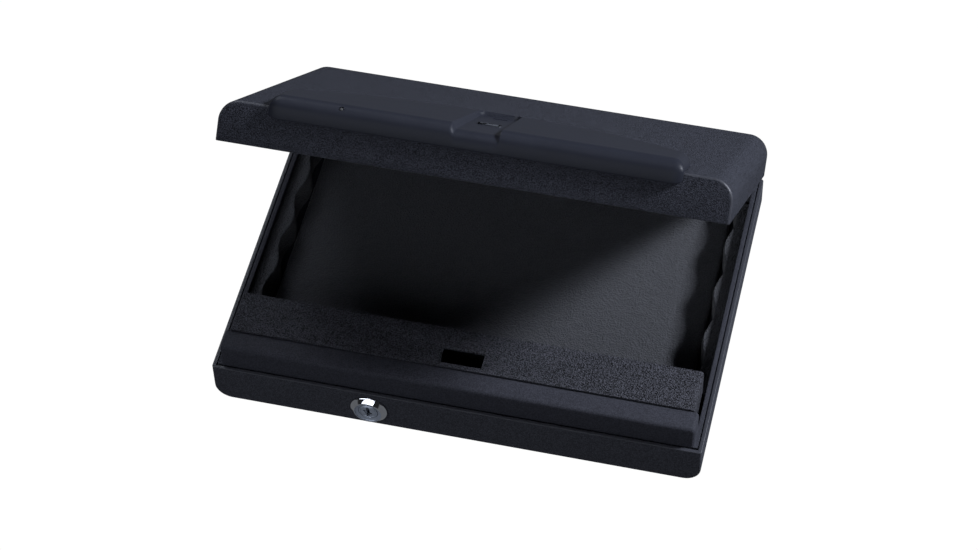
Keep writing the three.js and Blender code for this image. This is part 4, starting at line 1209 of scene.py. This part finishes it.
    def keep_out(self) -> Obj:
        """The lid's outside, a clearance larger, which the cover wraps.

        Returns:
            The block to cut away.
        """
        s = SAFE
        c = s.clear
        low, high = (-s.half - c, s.front - c, s.lid_rim - 0.02), (s.half + c, s.back + c, s.lid_top + c)
        block = cube("keep_out", low, high)
        rounded(block, self.seat_round, 6, lambda e: lies_at(e, 1, low[1]) and lies_at(e, 2, high[2]))
        return block

    def hollow(self) -> Obj:
        """The space inside the cover, clear of its bay and its studs.

        Returns:
            The space as a solid.
        """
        s = SAFE
        space = self.loft("hollow", self.half - self.wall, self.wall, False)
        left, right = self.bay_x - self.bay_width / 2, self.bay_x + self.bay_width / 2
        front, over = s.front - 0.02, s.lid_top + 0.02
        lip_wall = cube("lip_wall", (-self.half, front, 0), (self.half, s.front + 0.004, over))
        combined(space, lip_wall, Cut.AWAY)
        bay_wall = cube(
            "bay_wall", (left - self.wall, front, self.floor_z(s.front) - self.bay_floor),
            (right + self.wall, s.front + self.bay_length + self.wall, s.lid_top + 0.04),
        )
        combined(space, bay_wall, Cut.AWAY)
        studs = [rod("stud", self.stud_radius, (x, y, s.lid_top - 0.01), UP, 0.03) for x, y in s.studs]
        combined(space, joined("studs", studs), Cut.AWAY)
        return space

    def cover(self) -> Obj:
        """Models the cover: skin, hollow, seat on the lid, sensor window, rib, lamp and stud holes.

        Returns:
            The cover, for the shut lid.
        """
        s = SAFE
        body = self.skin()
        combined(body, self.keep_out(), Cut.AWAY)
        combined(body, self.hollow(), Cut.AWAY)
        rib_y, reach = s.front + self.rib_setback, self.rib_width / 2
        rib_foot, rib_top = self.floor_z(rib_y) - 0.0008, self.floor_z(rib_y) + self.rib_height
        rib = cube(
            "rib", (self.rib_x - reach, rib_y, rib_foot),
            (self.rib_x + reach, rib_y + self.rib_depth, rib_top),
        )
        rounded(rib, 0.0005, 4, lambda e: lies_at(e, 2, rib_top))
        combined(body, rib, Cut.JOIN)
        c = s.clear
        w, d = self.sensor_width / 2 + c, self.sensor_depth / 2 + c
        window = cube(
            "window", (self.sensor_x - w, self.sensor_y - d, s.lid_top - 0.001),
            (self.sensor_x + w, self.sensor_y + d, s.lid_top + 0.04),
        )
        rounded(window, self.sensor_round, 3, lambda e: along(e, 2))
        holes = [window, rod("lamp_hole", self.lamp_radius + c, self.lamp_seat, NOSE_WAY, 0.02)]
        studs = [(x, y, s.lid_top - 0.004) for x, y in s.studs]
        holes += [rod("stud_hole", s.screw_hole, stud, UP, 0.0074) for stud in studs]
        combined(body, joined("holes", holes), Cut.AWAY)
        smoothed(body, 40)
        return body

    def sensor(self) -> Obj:
        """Models the swipe sensor's bar, with its round metal edge.

        Returns:
            The bar, for the shut lid.
        """
        w, d = self.sensor_width / 2, self.sensor_depth / 2
        top = self.floor_z(self.sensor_y) + 0.0004
        low = (self.sensor_x - w, self.sensor_y - d, top - self.bay_floor)
        bar = cube("sensor_bar", low, (self.sensor_x + w, self.sensor_y + d, top))
        rounded(bar, self.sensor_round, 3, lambda e: along(e, 2))
        with editing(bar, Reach.FACES) as mesh:
            pick(mesh, mesh.faces, lambda p: p.normal.z > 0.9)
            bpy.ops.mesh.inset(thickness=0.0006, depth=0.0)
            bpy.ops.mesh.inset(thickness=0.0003, depth=0.0003)
        smoothed(bar, 50)
        return bar

    def lamp(self) -> Obj:
        """Models the lamp's domed lens.

        Returns:
            The lens, for the shut lid.
        """
        r, root, rise = self.lamp_radius, self.lamp_root, self.lamp_radius * 0.55
        profile = [(0, root), (r, root), *dome(r, self.nose - 0.0001 - rise, rise)]
        return lathe("lamp_lens_piece", profile, self.lamp_seat, NOSE_WAY, 24)

    def build(self) -> None:
        """Builds the cover and its fittings shut, opens them and dresses them."""
        f = self.finishes
        for piece, slot, finish, node in (
            (self.cover(), Slot.COVER, f.cover, "front_cover"),
            (self.sensor(), Slot.SENSOR, f.sensor, "swipe_sensor"),
            (self.lamp(), Slot.LAMP, f.lamp, "status_lamp"),
        ):
            piece.data.transform(SAFE.opening)
            if node == "status_lamp":
                smoothed(piece, 60)
            hand_over(piece, Body.LID, finish, node)


# Key lock

@dataclass
class KeyLock:
    """The cam lock: bezel with barrel, and the plug with its keyway."""

    finishes: Finishes
    x: float = -0.049
    z: float = 0.014
    face_y: float = -0.1044
    seat_y: float = -0.1013
    bezel: float = 0.0107
    face: float = 0.0083
    barrel: float = 0.009
    barrel_end: float = -0.0839
    plug: float = 0.0055
    plug_end: float = -0.0839
    stud: float = 0.003
    stud_end: float = -0.0816
    screw_hole: float = 0.0016
    key_depth: float = 0.009
    keyway: tuple[tuple[float, ...], ...] = (
        (-0.0009, 0.0009, -0.0042, 0.0042), (-0.0027, 0.0002, 0.0002, 0.0015),
        (-0.0002, 0.0024, -0.0022, -0.0007),
    )

    def turned(self, name: str, profile: list[tuple[float, float]], steps: int, sunk: float = 0.0) -> Obj:
        """Turns a profile about the lock's axis, from some way behind its face."""
        return lathe(name, profile, (self.x, self.face_y + sunk, self.z), BACK, steps)

    def body(self) -> Obj:
        """Models the bezel and barrel in one turned piece, bored for the plug.

        Returns:
            The piece.
        """
        h = self.seat_y - self.face_y
        end = self.barrel_end - self.face_y
        bore, face, rim, barrel = self.plug + 0.0002, self.face, self.bezel, self.barrel
        profile = [
            (bore, 0.0013), (bore + 0.00015, 0.0010), (face - 0.0011, 0.0007), (face - 0.0009, 0.00055),
            (face - 0.0007, 0.0001), (face - 0.0004, 0.0), (face - 0.00012, 0.00008), (face + 0.0001, 0.0003),
            (rim - 0.0004, h - 0.0011), (rim - 0.0001, h - 0.0009), (rim, h - 0.0006), (rim, h - 0.0001),
            (rim - 0.0001, h), (barrel, h), (barrel, end - 0.0008), (barrel - 0.0008, end), (bore, end),
            (bore, 0.0013),
        ]
        return self.turned("lock_bezel", profile, 96)

    def plug_piece(self) -> Obj:
        """Models the plug with its face ring and a broached keyway.

        Returns:
            The plug.
        """
        top, r, stud, screw = 0.0008, self.plug, self.stud, self.screw_hole
        stop, end = self.plug_end - self.face_y, self.stud_end - self.face_y
        profile = [
            (0, top), (r - 0.0012, top), (r - 0.001, top + 0.0002), (r - 0.0008, top), (r - 0.0003, top),
            (r, top + 0.0003), (r, stop), (stud, stop), (stud, end), (screw, end), (screw, end - 0.006),
            (0, end - 0.006),
        ]
        plug = self.turned("lock_plug", profile, 64)
        for left, right, low, high in self.keyway:
            slit = cube(
                "slit", (self.x + left, self.face_y - 0.001, self.z + low),
                (self.x + right, self.face_y + self.key_depth, self.z + high),
            )
            combined(plug, slit, Cut.AWAY)
        mouth = self.turned("mouth", [(0, 0.0), (0.0024, 0.0), (0.0017, 0.0011), (0, 0.0011)], 32, 0.0003)
        combined(plug, mouth, Cut.AWAY)
        return plug

    def build(self) -> None:
        """Builds and dresses the lock, with its nut, cam and screw."""
        f = self.finishes
        bezel = self.body()
        bezel.data.materials.append(f.chrome)
        bezel.data.materials.append(f.face)
        for face in bezel.data.polygons:
            spot = face.center
            radius = math.hypot(spot.x - self.x, spot.z - self.z)
            face.material_index = int(radius < self.face - 0.0005 and spot.y < self.face_y + 0.002)
        smoothed(bezel, 38)
        hand_over(bezel, Body.BASE, f.chrome, "lock_body")
        plug = self.plug_piece()
        smoothed(plug, 38)
        hand_over(plug, Body.KEY_PLUG, f.face, "key_plug")
        hand_over(refined("lock_nut", "lock_ring_nut", 0.0004), Body.BASE, f.zinc, "lock_nut")
        hand_over(refined("lock_cam", "lock_cam_arm", 0.00025), Body.KEY_PLUG, f.zinc, "lock_cam")


# Fasteners

@dataclass
class Fasteners:
    """Pan-head screws with a cross recess, and domed rivets."""

    finishes: Finishes
    shank: float = 0.0019
    head: float = 0.0036
    head_height: float = 0.0016
    head_edge: float = 0.0003
    boss: float = 0.003
    catch_tip: float = 0.0006
    catch_plate: float = 0.0015
    foot_length: float = 0.0027
    rivet_radius: float = 0.0016
    rivet_grip: float = 0.0037
    rivet_head: float = 0.0029
    rivet_rise: float = 0.0012
    rivet_foot: float = 0.0008

    def screw(self, name: str, length: float) -> Obj:
        """Models one screw with a shank of some length, tip at the origin and head up.

        Args:
            name: The screw's name.
            length: The shank's length.

        Returns:
            The screw.
        """
        radius, head = self.shank, self.head
        top = length + self.head_height
        cap = dome(head, length + self.head_edge, self.head_height - self.head_edge)
        profile = [(0, 0), (radius * 0.7, 0), (radius, 0.0005), (radius, length), (head, length), *cap]
        made = lathe(name, profile, (0, 0, 0), UP, 24)
        arm = head * 0.52
        for turn in (0, 1):
            low = (-arm, -head * 0.11) if turn else (-head * 0.11, -arm)
            cross = cube("recess", (*low, top - 0.0009), (-low[0], -low[1], top + 0.001))
            combined(made, cross, Cut.AWAY)
        smoothed(made, 35)
        return made

    def rivet(self, name: str) -> Obj:
        """Models one rivet along +Y, its set head at the origin.

        Args:
            name: The rivet's name.

        Returns:
            The rivet.
        """
        r, reach, foot = self.rivet_radius, self.rivet_grip, self.rivet_radius + 0.001
        cap = dome(self.rivet_head, reach, self.rivet_rise)
        profile = [(0, 0), (foot, 0), (foot, self.rivet_foot), (r, self.rivet_foot), (r, reach), *cap]
        made = lathe(name, profile, (0, 0, 0), BACK, 24)
        smoothed(made, 35)
        return made

    def placed(self, made: Obj, where: Matrix, body: Body, slot: Slot, node: str) -> None:
        """Copies a fastener to its place and dresses it.

        Args:
            made: The fastener to copy.
            where: Its place and turn.
            body: The body it rides on.
            slot: Its material slot.
            node: The CAD node that it replaces.
        """
        one = copied(made, node + "_piece")
        one.data.transform(where)
        smoothed(one, 35)
        finish = self.finishes.zinc if slot is Slot.ZINC else self.finishes.hinge
        hand_over(one, body, finish, node)

    def build(self) -> None:
        """Builds every screw and rivet that can be seen from outside or with the lid open."""
        s = SAFE
        inside = s.back - s.sheet - s.clear - self.rivet_foot
        rivet = self.rivet("rivet_master")
        for i, x in enumerate(s.rivets, 1):
            low, high = (Matrix.Translation((x, inside, z)) for z in (s.base_rivet_z, s.lid_rivet_z))
            self.placed(rivet, low, Body.BASE, Slot.SHELL, f"base_rivet_{i}")
            self.placed(rivet, s.opening @ high, Body.LID, Slot.SHELL, f"lid_rivet_{i}")
        bpy.data.objects.remove(rivet)
        ceiling = s.lid_top - s.sheet - s.clear
        cover_z, catch_z = s.lid_top + self.boss, s.lid_top + self.catch_tip
        catch = catch_z - (ceiling - self.catch_plate - s.clear)
        feet = [(x, s.foot_y, s.clear) for x in s.foot_screws]
        studs = [(x, y, cover_z) for x, y in s.studs]
        catches = [(x, s.slot_y, catch_z) for x in s.striker_screws]
        for node, body, length, tips in (
            ("latch_cover_screw", Body.BASE, self.foot_length, feet),
            ("cover_screw", Body.LID, cover_z - ceiling, studs),
            ("striker_screw", Body.LID, catch, catches),
        ):
            master = self.screw("screw_master", length)
            for i, tip in enumerate(tips, 1):
                where = Matrix.Translation(tip)
                if body is Body.LID:
                    where = s.opening @ where @ Matrix.Rotation(math.pi, 4, "X")
                self.placed(master, where, body, Slot.ZINC, f"{node}_{i}")
            bpy.data.objects.remove(master)


# Hinge

@dataclass
class Hinge:
    """The continuous hinge: two leaves with interleaved knuckles on one pin."""

    finishes: Finishes
    length: float = 0.246
    knuckles: int = 9
    radius: float = 0.0023
    bore: float = 0.0015
    pin: float = 0.0012
    leaf: float = 0.001
    height: float = 0.0154
    run: float = 0.0005

    def half(self, name: str, up: int, parity: int) -> Obj:
        """Models one leaf with its share of the knuckles.

        Args:
            name: The new object's name.
            up: 1 for the lid's leaf, -1 for the base's.
            parity: Whether it has the even or the odd knuckles.

        Returns:
            The leaf, for the shut lid.
        """
        s = SAFE
        y0 = s.back + s.clear
        near, far = s.hinge_z + up * (self.radius + self.run), s.hinge_z + up * self.height
        (low, high), reach = sorted((near, far)), self.length / 2
        leaf = cube(name, (-reach, y0, low), (reach, y0 + self.leaf, high))
        step = self.length / self.knuckles
        for i in range(self.knuckles):
            if i % 2 != parity:
                continue
            x0 = -reach + i * step + s.clear / 2
            x1 = x0 + step - s.clear
            z0, z1 = sorted((s.hinge_z, near + up * 0.0005))
            combined(leaf, cube("neck", (x0, y0, z0), (x1, y0 + self.leaf, z1)), Cut.JOIN)
            knuckle = rod("knuckle", self.radius, (x0, s.hinge_y, s.hinge_z), RIGHT, x1 - x0, 32)
            combined(leaf, knuckle, Cut.JOIN)
        cuts = [rod("bore", self.bore, (-s.half, s.hinge_y, s.hinge_z), RIGHT, 2 * s.half, 32)]
        rivet_z = s.base_rivet_z if up < 0 else s.lid_rivet_z
        cuts += [rod("rivet_hole", s.rivet_hole, (x, y0 - 0.001, rivet_z), BACK, 0.003) for x in s.rivets]
        combined(leaf, joined("cuts", cuts), Cut.AWAY)
        outer = y0 + self.leaf
        rounded(leaf, 0.0003, 3, lambda e: along(e, 0) and lies_at(e, 2, far) and lies_at(e, 1, outer))
        smoothed(leaf, 35)
        return leaf

    def build(self) -> None:
        """Builds both leaves and the pin with its round ends."""
        f, s = self.finishes, SAFE
        hand_over(self.half("base_leaf", -1, 0), Body.BASE, f.hinge, "hinge_base_leaf")
        lid_leaf = self.half("lid_leaf", 1, 1)
        lid_leaf.data.transform(s.opening)
        hand_over(lid_leaf, Body.LID, f.hinge, "hinge_lid_leaf")
        r, n = self.pin, self.length
        profile = [(0, 0), (r * 0.7, 0), (r, r * 0.3), (r, n - r * 0.3), (r * 0.7, n), (0, n)]
        pin = lathe("leaf_pin", profile, (-n / 2, s.hinge_y, s.hinge_z), RIGHT, 24)
        smoothed(pin, 50)
        hand_over(pin, Body.BASE, f.zinc, "hinge_pin")


# Foam

@dataclass
class FoamLining:
    """The charcoal foam pads: flat ones under the contents and in the lid, waved ones at the walls."""

    finishes: Finishes
    cell: float = 0.0016
    bite: float = 0.00022

    def pad(self, node: str, name: str, bevel: float, voxel: float) -> Obj:
        """Models a pad from its CAD solid, with soft edges and the open cells of a cut face.

        Args:
            node: The CAD node that it replaces.
            name: The pad's name.
            bevel: How far its edges are rounded.
            voxel: The size of its faces.

        Returns:
            The pad.
        """
        made = refined(node, name, bevel, 3)
        modified(made, "REMESH", mode="VOXEL", voxel_size=voxel, adaptivity=0.0)
        modified(made, "SMOOTH", factor=0.5, iterations=4)
        mesh = made.data
        count = len(mesh.vertices)
        places = np.empty(count * 3)
        mesh.vertices.foreach_get("co", places)
        normals = np.empty(count * 3)
        mesh.vertex_normals.foreach_get("vector", normals)
        places, normals = places.reshape(-1, 3), normals.reshape(-1, 3)
        moved = places.copy()
        for i in range(count):
            spot = Vector(places[i]) / self.cell
            pit = noise.noise(spot) + 0.6 * noise.noise(spot * 0.31)
            moved[i] -= normals[i] * self.bite * (0.9 + pit)
        mesh.vertices.foreach_set("co", moved.ravel())
        mesh.update()
        only(made)
        bpy.ops.object.shade_smooth()
        return made

    def build(self) -> None:
        """Builds and dresses the five pads."""
        for node, name, body, bevel, voxel in (
            ("floor_foam", "floor_pad", Body.BASE, 0.0009, 0.0013),
            ("left_foam", "left_pad", Body.BASE, 0.0007, 0.0009),
            ("right_foam", "right_pad", Body.BASE, 0.0007, 0.0009),
            ("rear_foam", "rear_pad", Body.BASE, 0.0007, 0.001),
            ("lid_foam", "lid_pad", Body.LID, 0.0009, 0.0014),
        ):
            pad = self.pad(node, name, bevel, voxel)
            hand_over(pad, body, self.finishes.foam, node)


# Latch works

@dataclass
class LatchWorks:
    """What lies under the latch cover and behind the striker: bolt, guide, solenoid and electronics."""

    finishes: Finishes

    def build(self) -> None:
        """Builds and dresses the pieces that the latch cover hides, and the striker."""
        f = self.finishes
        for node, name, body, slot, finish, bevel in (
            ("striker", "striker_hook", Body.LID, Slot.ZINC, f.drawn, 0.0003),
            ("latch_bolt", "sliding_bolt", Body.BOLT, Slot.ZINC, f.drawn, 0.00025),
            ("bolt_guide", "bolt_guide_plate", Body.BASE, Slot.ZINC, f.drawn, 0.0002),
            ("solenoid_frame", "solenoid_bracket", Body.BASE, Slot.ZINC, f.drawn, 0.0002),
            ("solenoid_plunger", "plunger", Body.BOLT, Slot.ZINC, f.zinc, 0.0),
            ("board_tray", "electronics_tray", Body.BASE, Slot.TRAY, f.tray, 0.0002),
        ):
            hand_over(refined(node, name, bevel), body, finish, node)
        for node, finish in (
            ("solenoid_coil", f.winding), ("circuit_board", f.mask), ("sensor_board", f.mask),
            ("guide_screw_upper", f.zinc), ("guide_screw_lower", f.zinc), ("cam_screw", f.zinc),
            ("bolt_spring", f.zinc), ("battery_1", f.jacket), ("battery_2", f.jacket),
            ("battery_3", f.jacket), ("battery_4", f.jacket),
        ):
            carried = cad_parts[node]
            carried.data.materials.clear()
            carried.data.materials.append(finish)
            log.info("%s keeps its CAD shape with a new finish", node)


# Studio

@dataclass
class Studio:
    """A light table, soft lights and the camera at the photograph's view."""

    focal_px: float = 2879.85
    frame_px: float = 978.0
    film: float = 36
    azimuth: float = 14.518
    elevation: float = 51.483
    roll: float = -1.796
    distance: float = 1.655
    target: Point = (-0.00167, -0.005784, 0.030)
    reach: float = 2.5
    daylight: Point = (0.86, 0.91, 1.0)
    bounce: float = 0.16
    air: float = 0.02
    glow: float = 1.02
    lights: tuple[tuple[str, float, float, tuple[float, float], float], ...] = (
        ("key_light", 20, 35, (0.45, 0.45), 190),
        ("back_light", 130, 40, (0.9, 0.9), 30),
        ("top_light", 180, 82, (0.9, 0.9), 9),
        ("front_card", -108, 31, (3.4, 1.1), 48),
    )

    def camera(self) -> None:
        """Sets up the camera."""
        az, el = math.radians(self.azimuth), math.radians(self.elevation)
        back = Vector((math.sin(az) * math.cos(el), -math.cos(az) * math.cos(el), math.sin(el)))
        right = (-back).cross(Vector(UP)).normalized()
        up = right.cross(-back)
        r = math.radians(self.roll)
        right, up = math.cos(r) * right + math.sin(r) * up, -math.sin(r) * right + math.cos(r) * up
        made = bpy.data.objects.new("camera", bpy.data.cameras.new("camera"))
        bpy.context.scene.collection.objects.link(made)
        turn = Matrix((right, up, back)).transposed().to_4x4()
        made.matrix_world = Matrix.Translation(Vector(self.target) + back * self.distance) @ turn
        made.data.sensor_width = self.film
        made.data.lens = self.focal_px / self.frame_px * self.film
        bpy.context.scene.camera = made

    def softbox(
        self, name: str, azimuth: float, elevation: float, size: tuple[float, float], power: float
    ) -> None:
        """Hangs one soft light that faces the safe.

        Args:
            name: The light's name.
            azimuth: Degrees round from the right, where the back is 90.
            elevation: Degrees above the table.
            size: Its width and height.
            power: Its power in watts.
        """
        light = bpy.data.lights.new(name, "AREA")
        light.shape = "RECTANGLE"
        light.size, light.size_y = size
        light.energy = power
        light.color = self.daylight
        made = bpy.data.objects.new(name, light)
        bpy.context.scene.collection.objects.link(made)
        az, el = math.radians(azimuth), math.radians(elevation)
        out = Vector((math.cos(az) * math.cos(el), math.sin(az) * math.cos(el), math.sin(el)))
        made.location = out * self.reach + Vector((0, 0, SAFE.rim))
        made.rotation_euler = out.to_track_quat("Z", "Y").to_euler()

    def sky(self) -> None:
        """Sets the air's light: weak above the horizon, and below it what a bright table gives back."""
        world = bpy.data.worlds.new("studio_air")
        world.use_nodes = True
        nodes, links = world.node_tree.nodes, world.node_tree.links
        sky = nodes["Background"]
        sky.inputs["Color"].default_value = (0.9, 0.94, 1.0, 1)
        toward, split, horizon = (
            nodes.new("ShaderNode" + kind) for kind in ("TexCoord", "SeparateXYZ", "MapRange")
        )
        span = {"From Min": -0.05, "From Max": 0.05, "To Min": self.bounce, "To Max": self.air}
        for socket, value in span.items():
            horizon.inputs[socket].default_value = value
        links.new(toward.outputs["Generated"], split.inputs["Vector"])
        links.new(split.outputs["Z"], horizon.inputs["Value"])
        links.new(horizon.outputs["Result"], sky.inputs["Strength"])
        bpy.context.scene.world = world

    def build(self) -> None:
        """Lays the floor and sets the lights."""
        bpy.ops.object.select_all(action="DESELECT")
        bpy.ops.mesh.primitive_plane_add(size=9, location=(0, 0, -0.0004))
        floor = bpy.context.object
        bpy.ops.object.transform_apply(location=True, rotation=True, scale=True)
        floor.name = "studio_floor"
        floor.visible_glossy = False
        floor.visible_diffuse = False
        table = Bench("light_table").finished(
            Base_Color=(0.0, 0.0, 0.0), Roughness=1.0, Specular_IOR_Level=0.0,
            Emission_Color=(1.0, 1.0, 1.0), Emission_Strength=self.glow,
        )
        floor.data.materials.append(table)
        self.sky()
        bpy.context.scene.view_settings.view_transform = "Standard"
        for light in self.lights:
            self.softbox(*light)
        self.camera()


def main() -> None:
    """Builds the safe's sub-assemblies in order."""
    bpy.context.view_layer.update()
    finishes = Finishes()
    Studio().build()
    BaseShell(finishes).build()
    LidShell(finishes).build()
    LidCover(finishes).build()
    KeyLock(finishes).build()
    Hinge(finishes).build()
    Fasteners(finishes).build()
    FoamLining(finishes).build()
    LatchWorks(finishes).build()


if __name__ == "__main__":
    main()
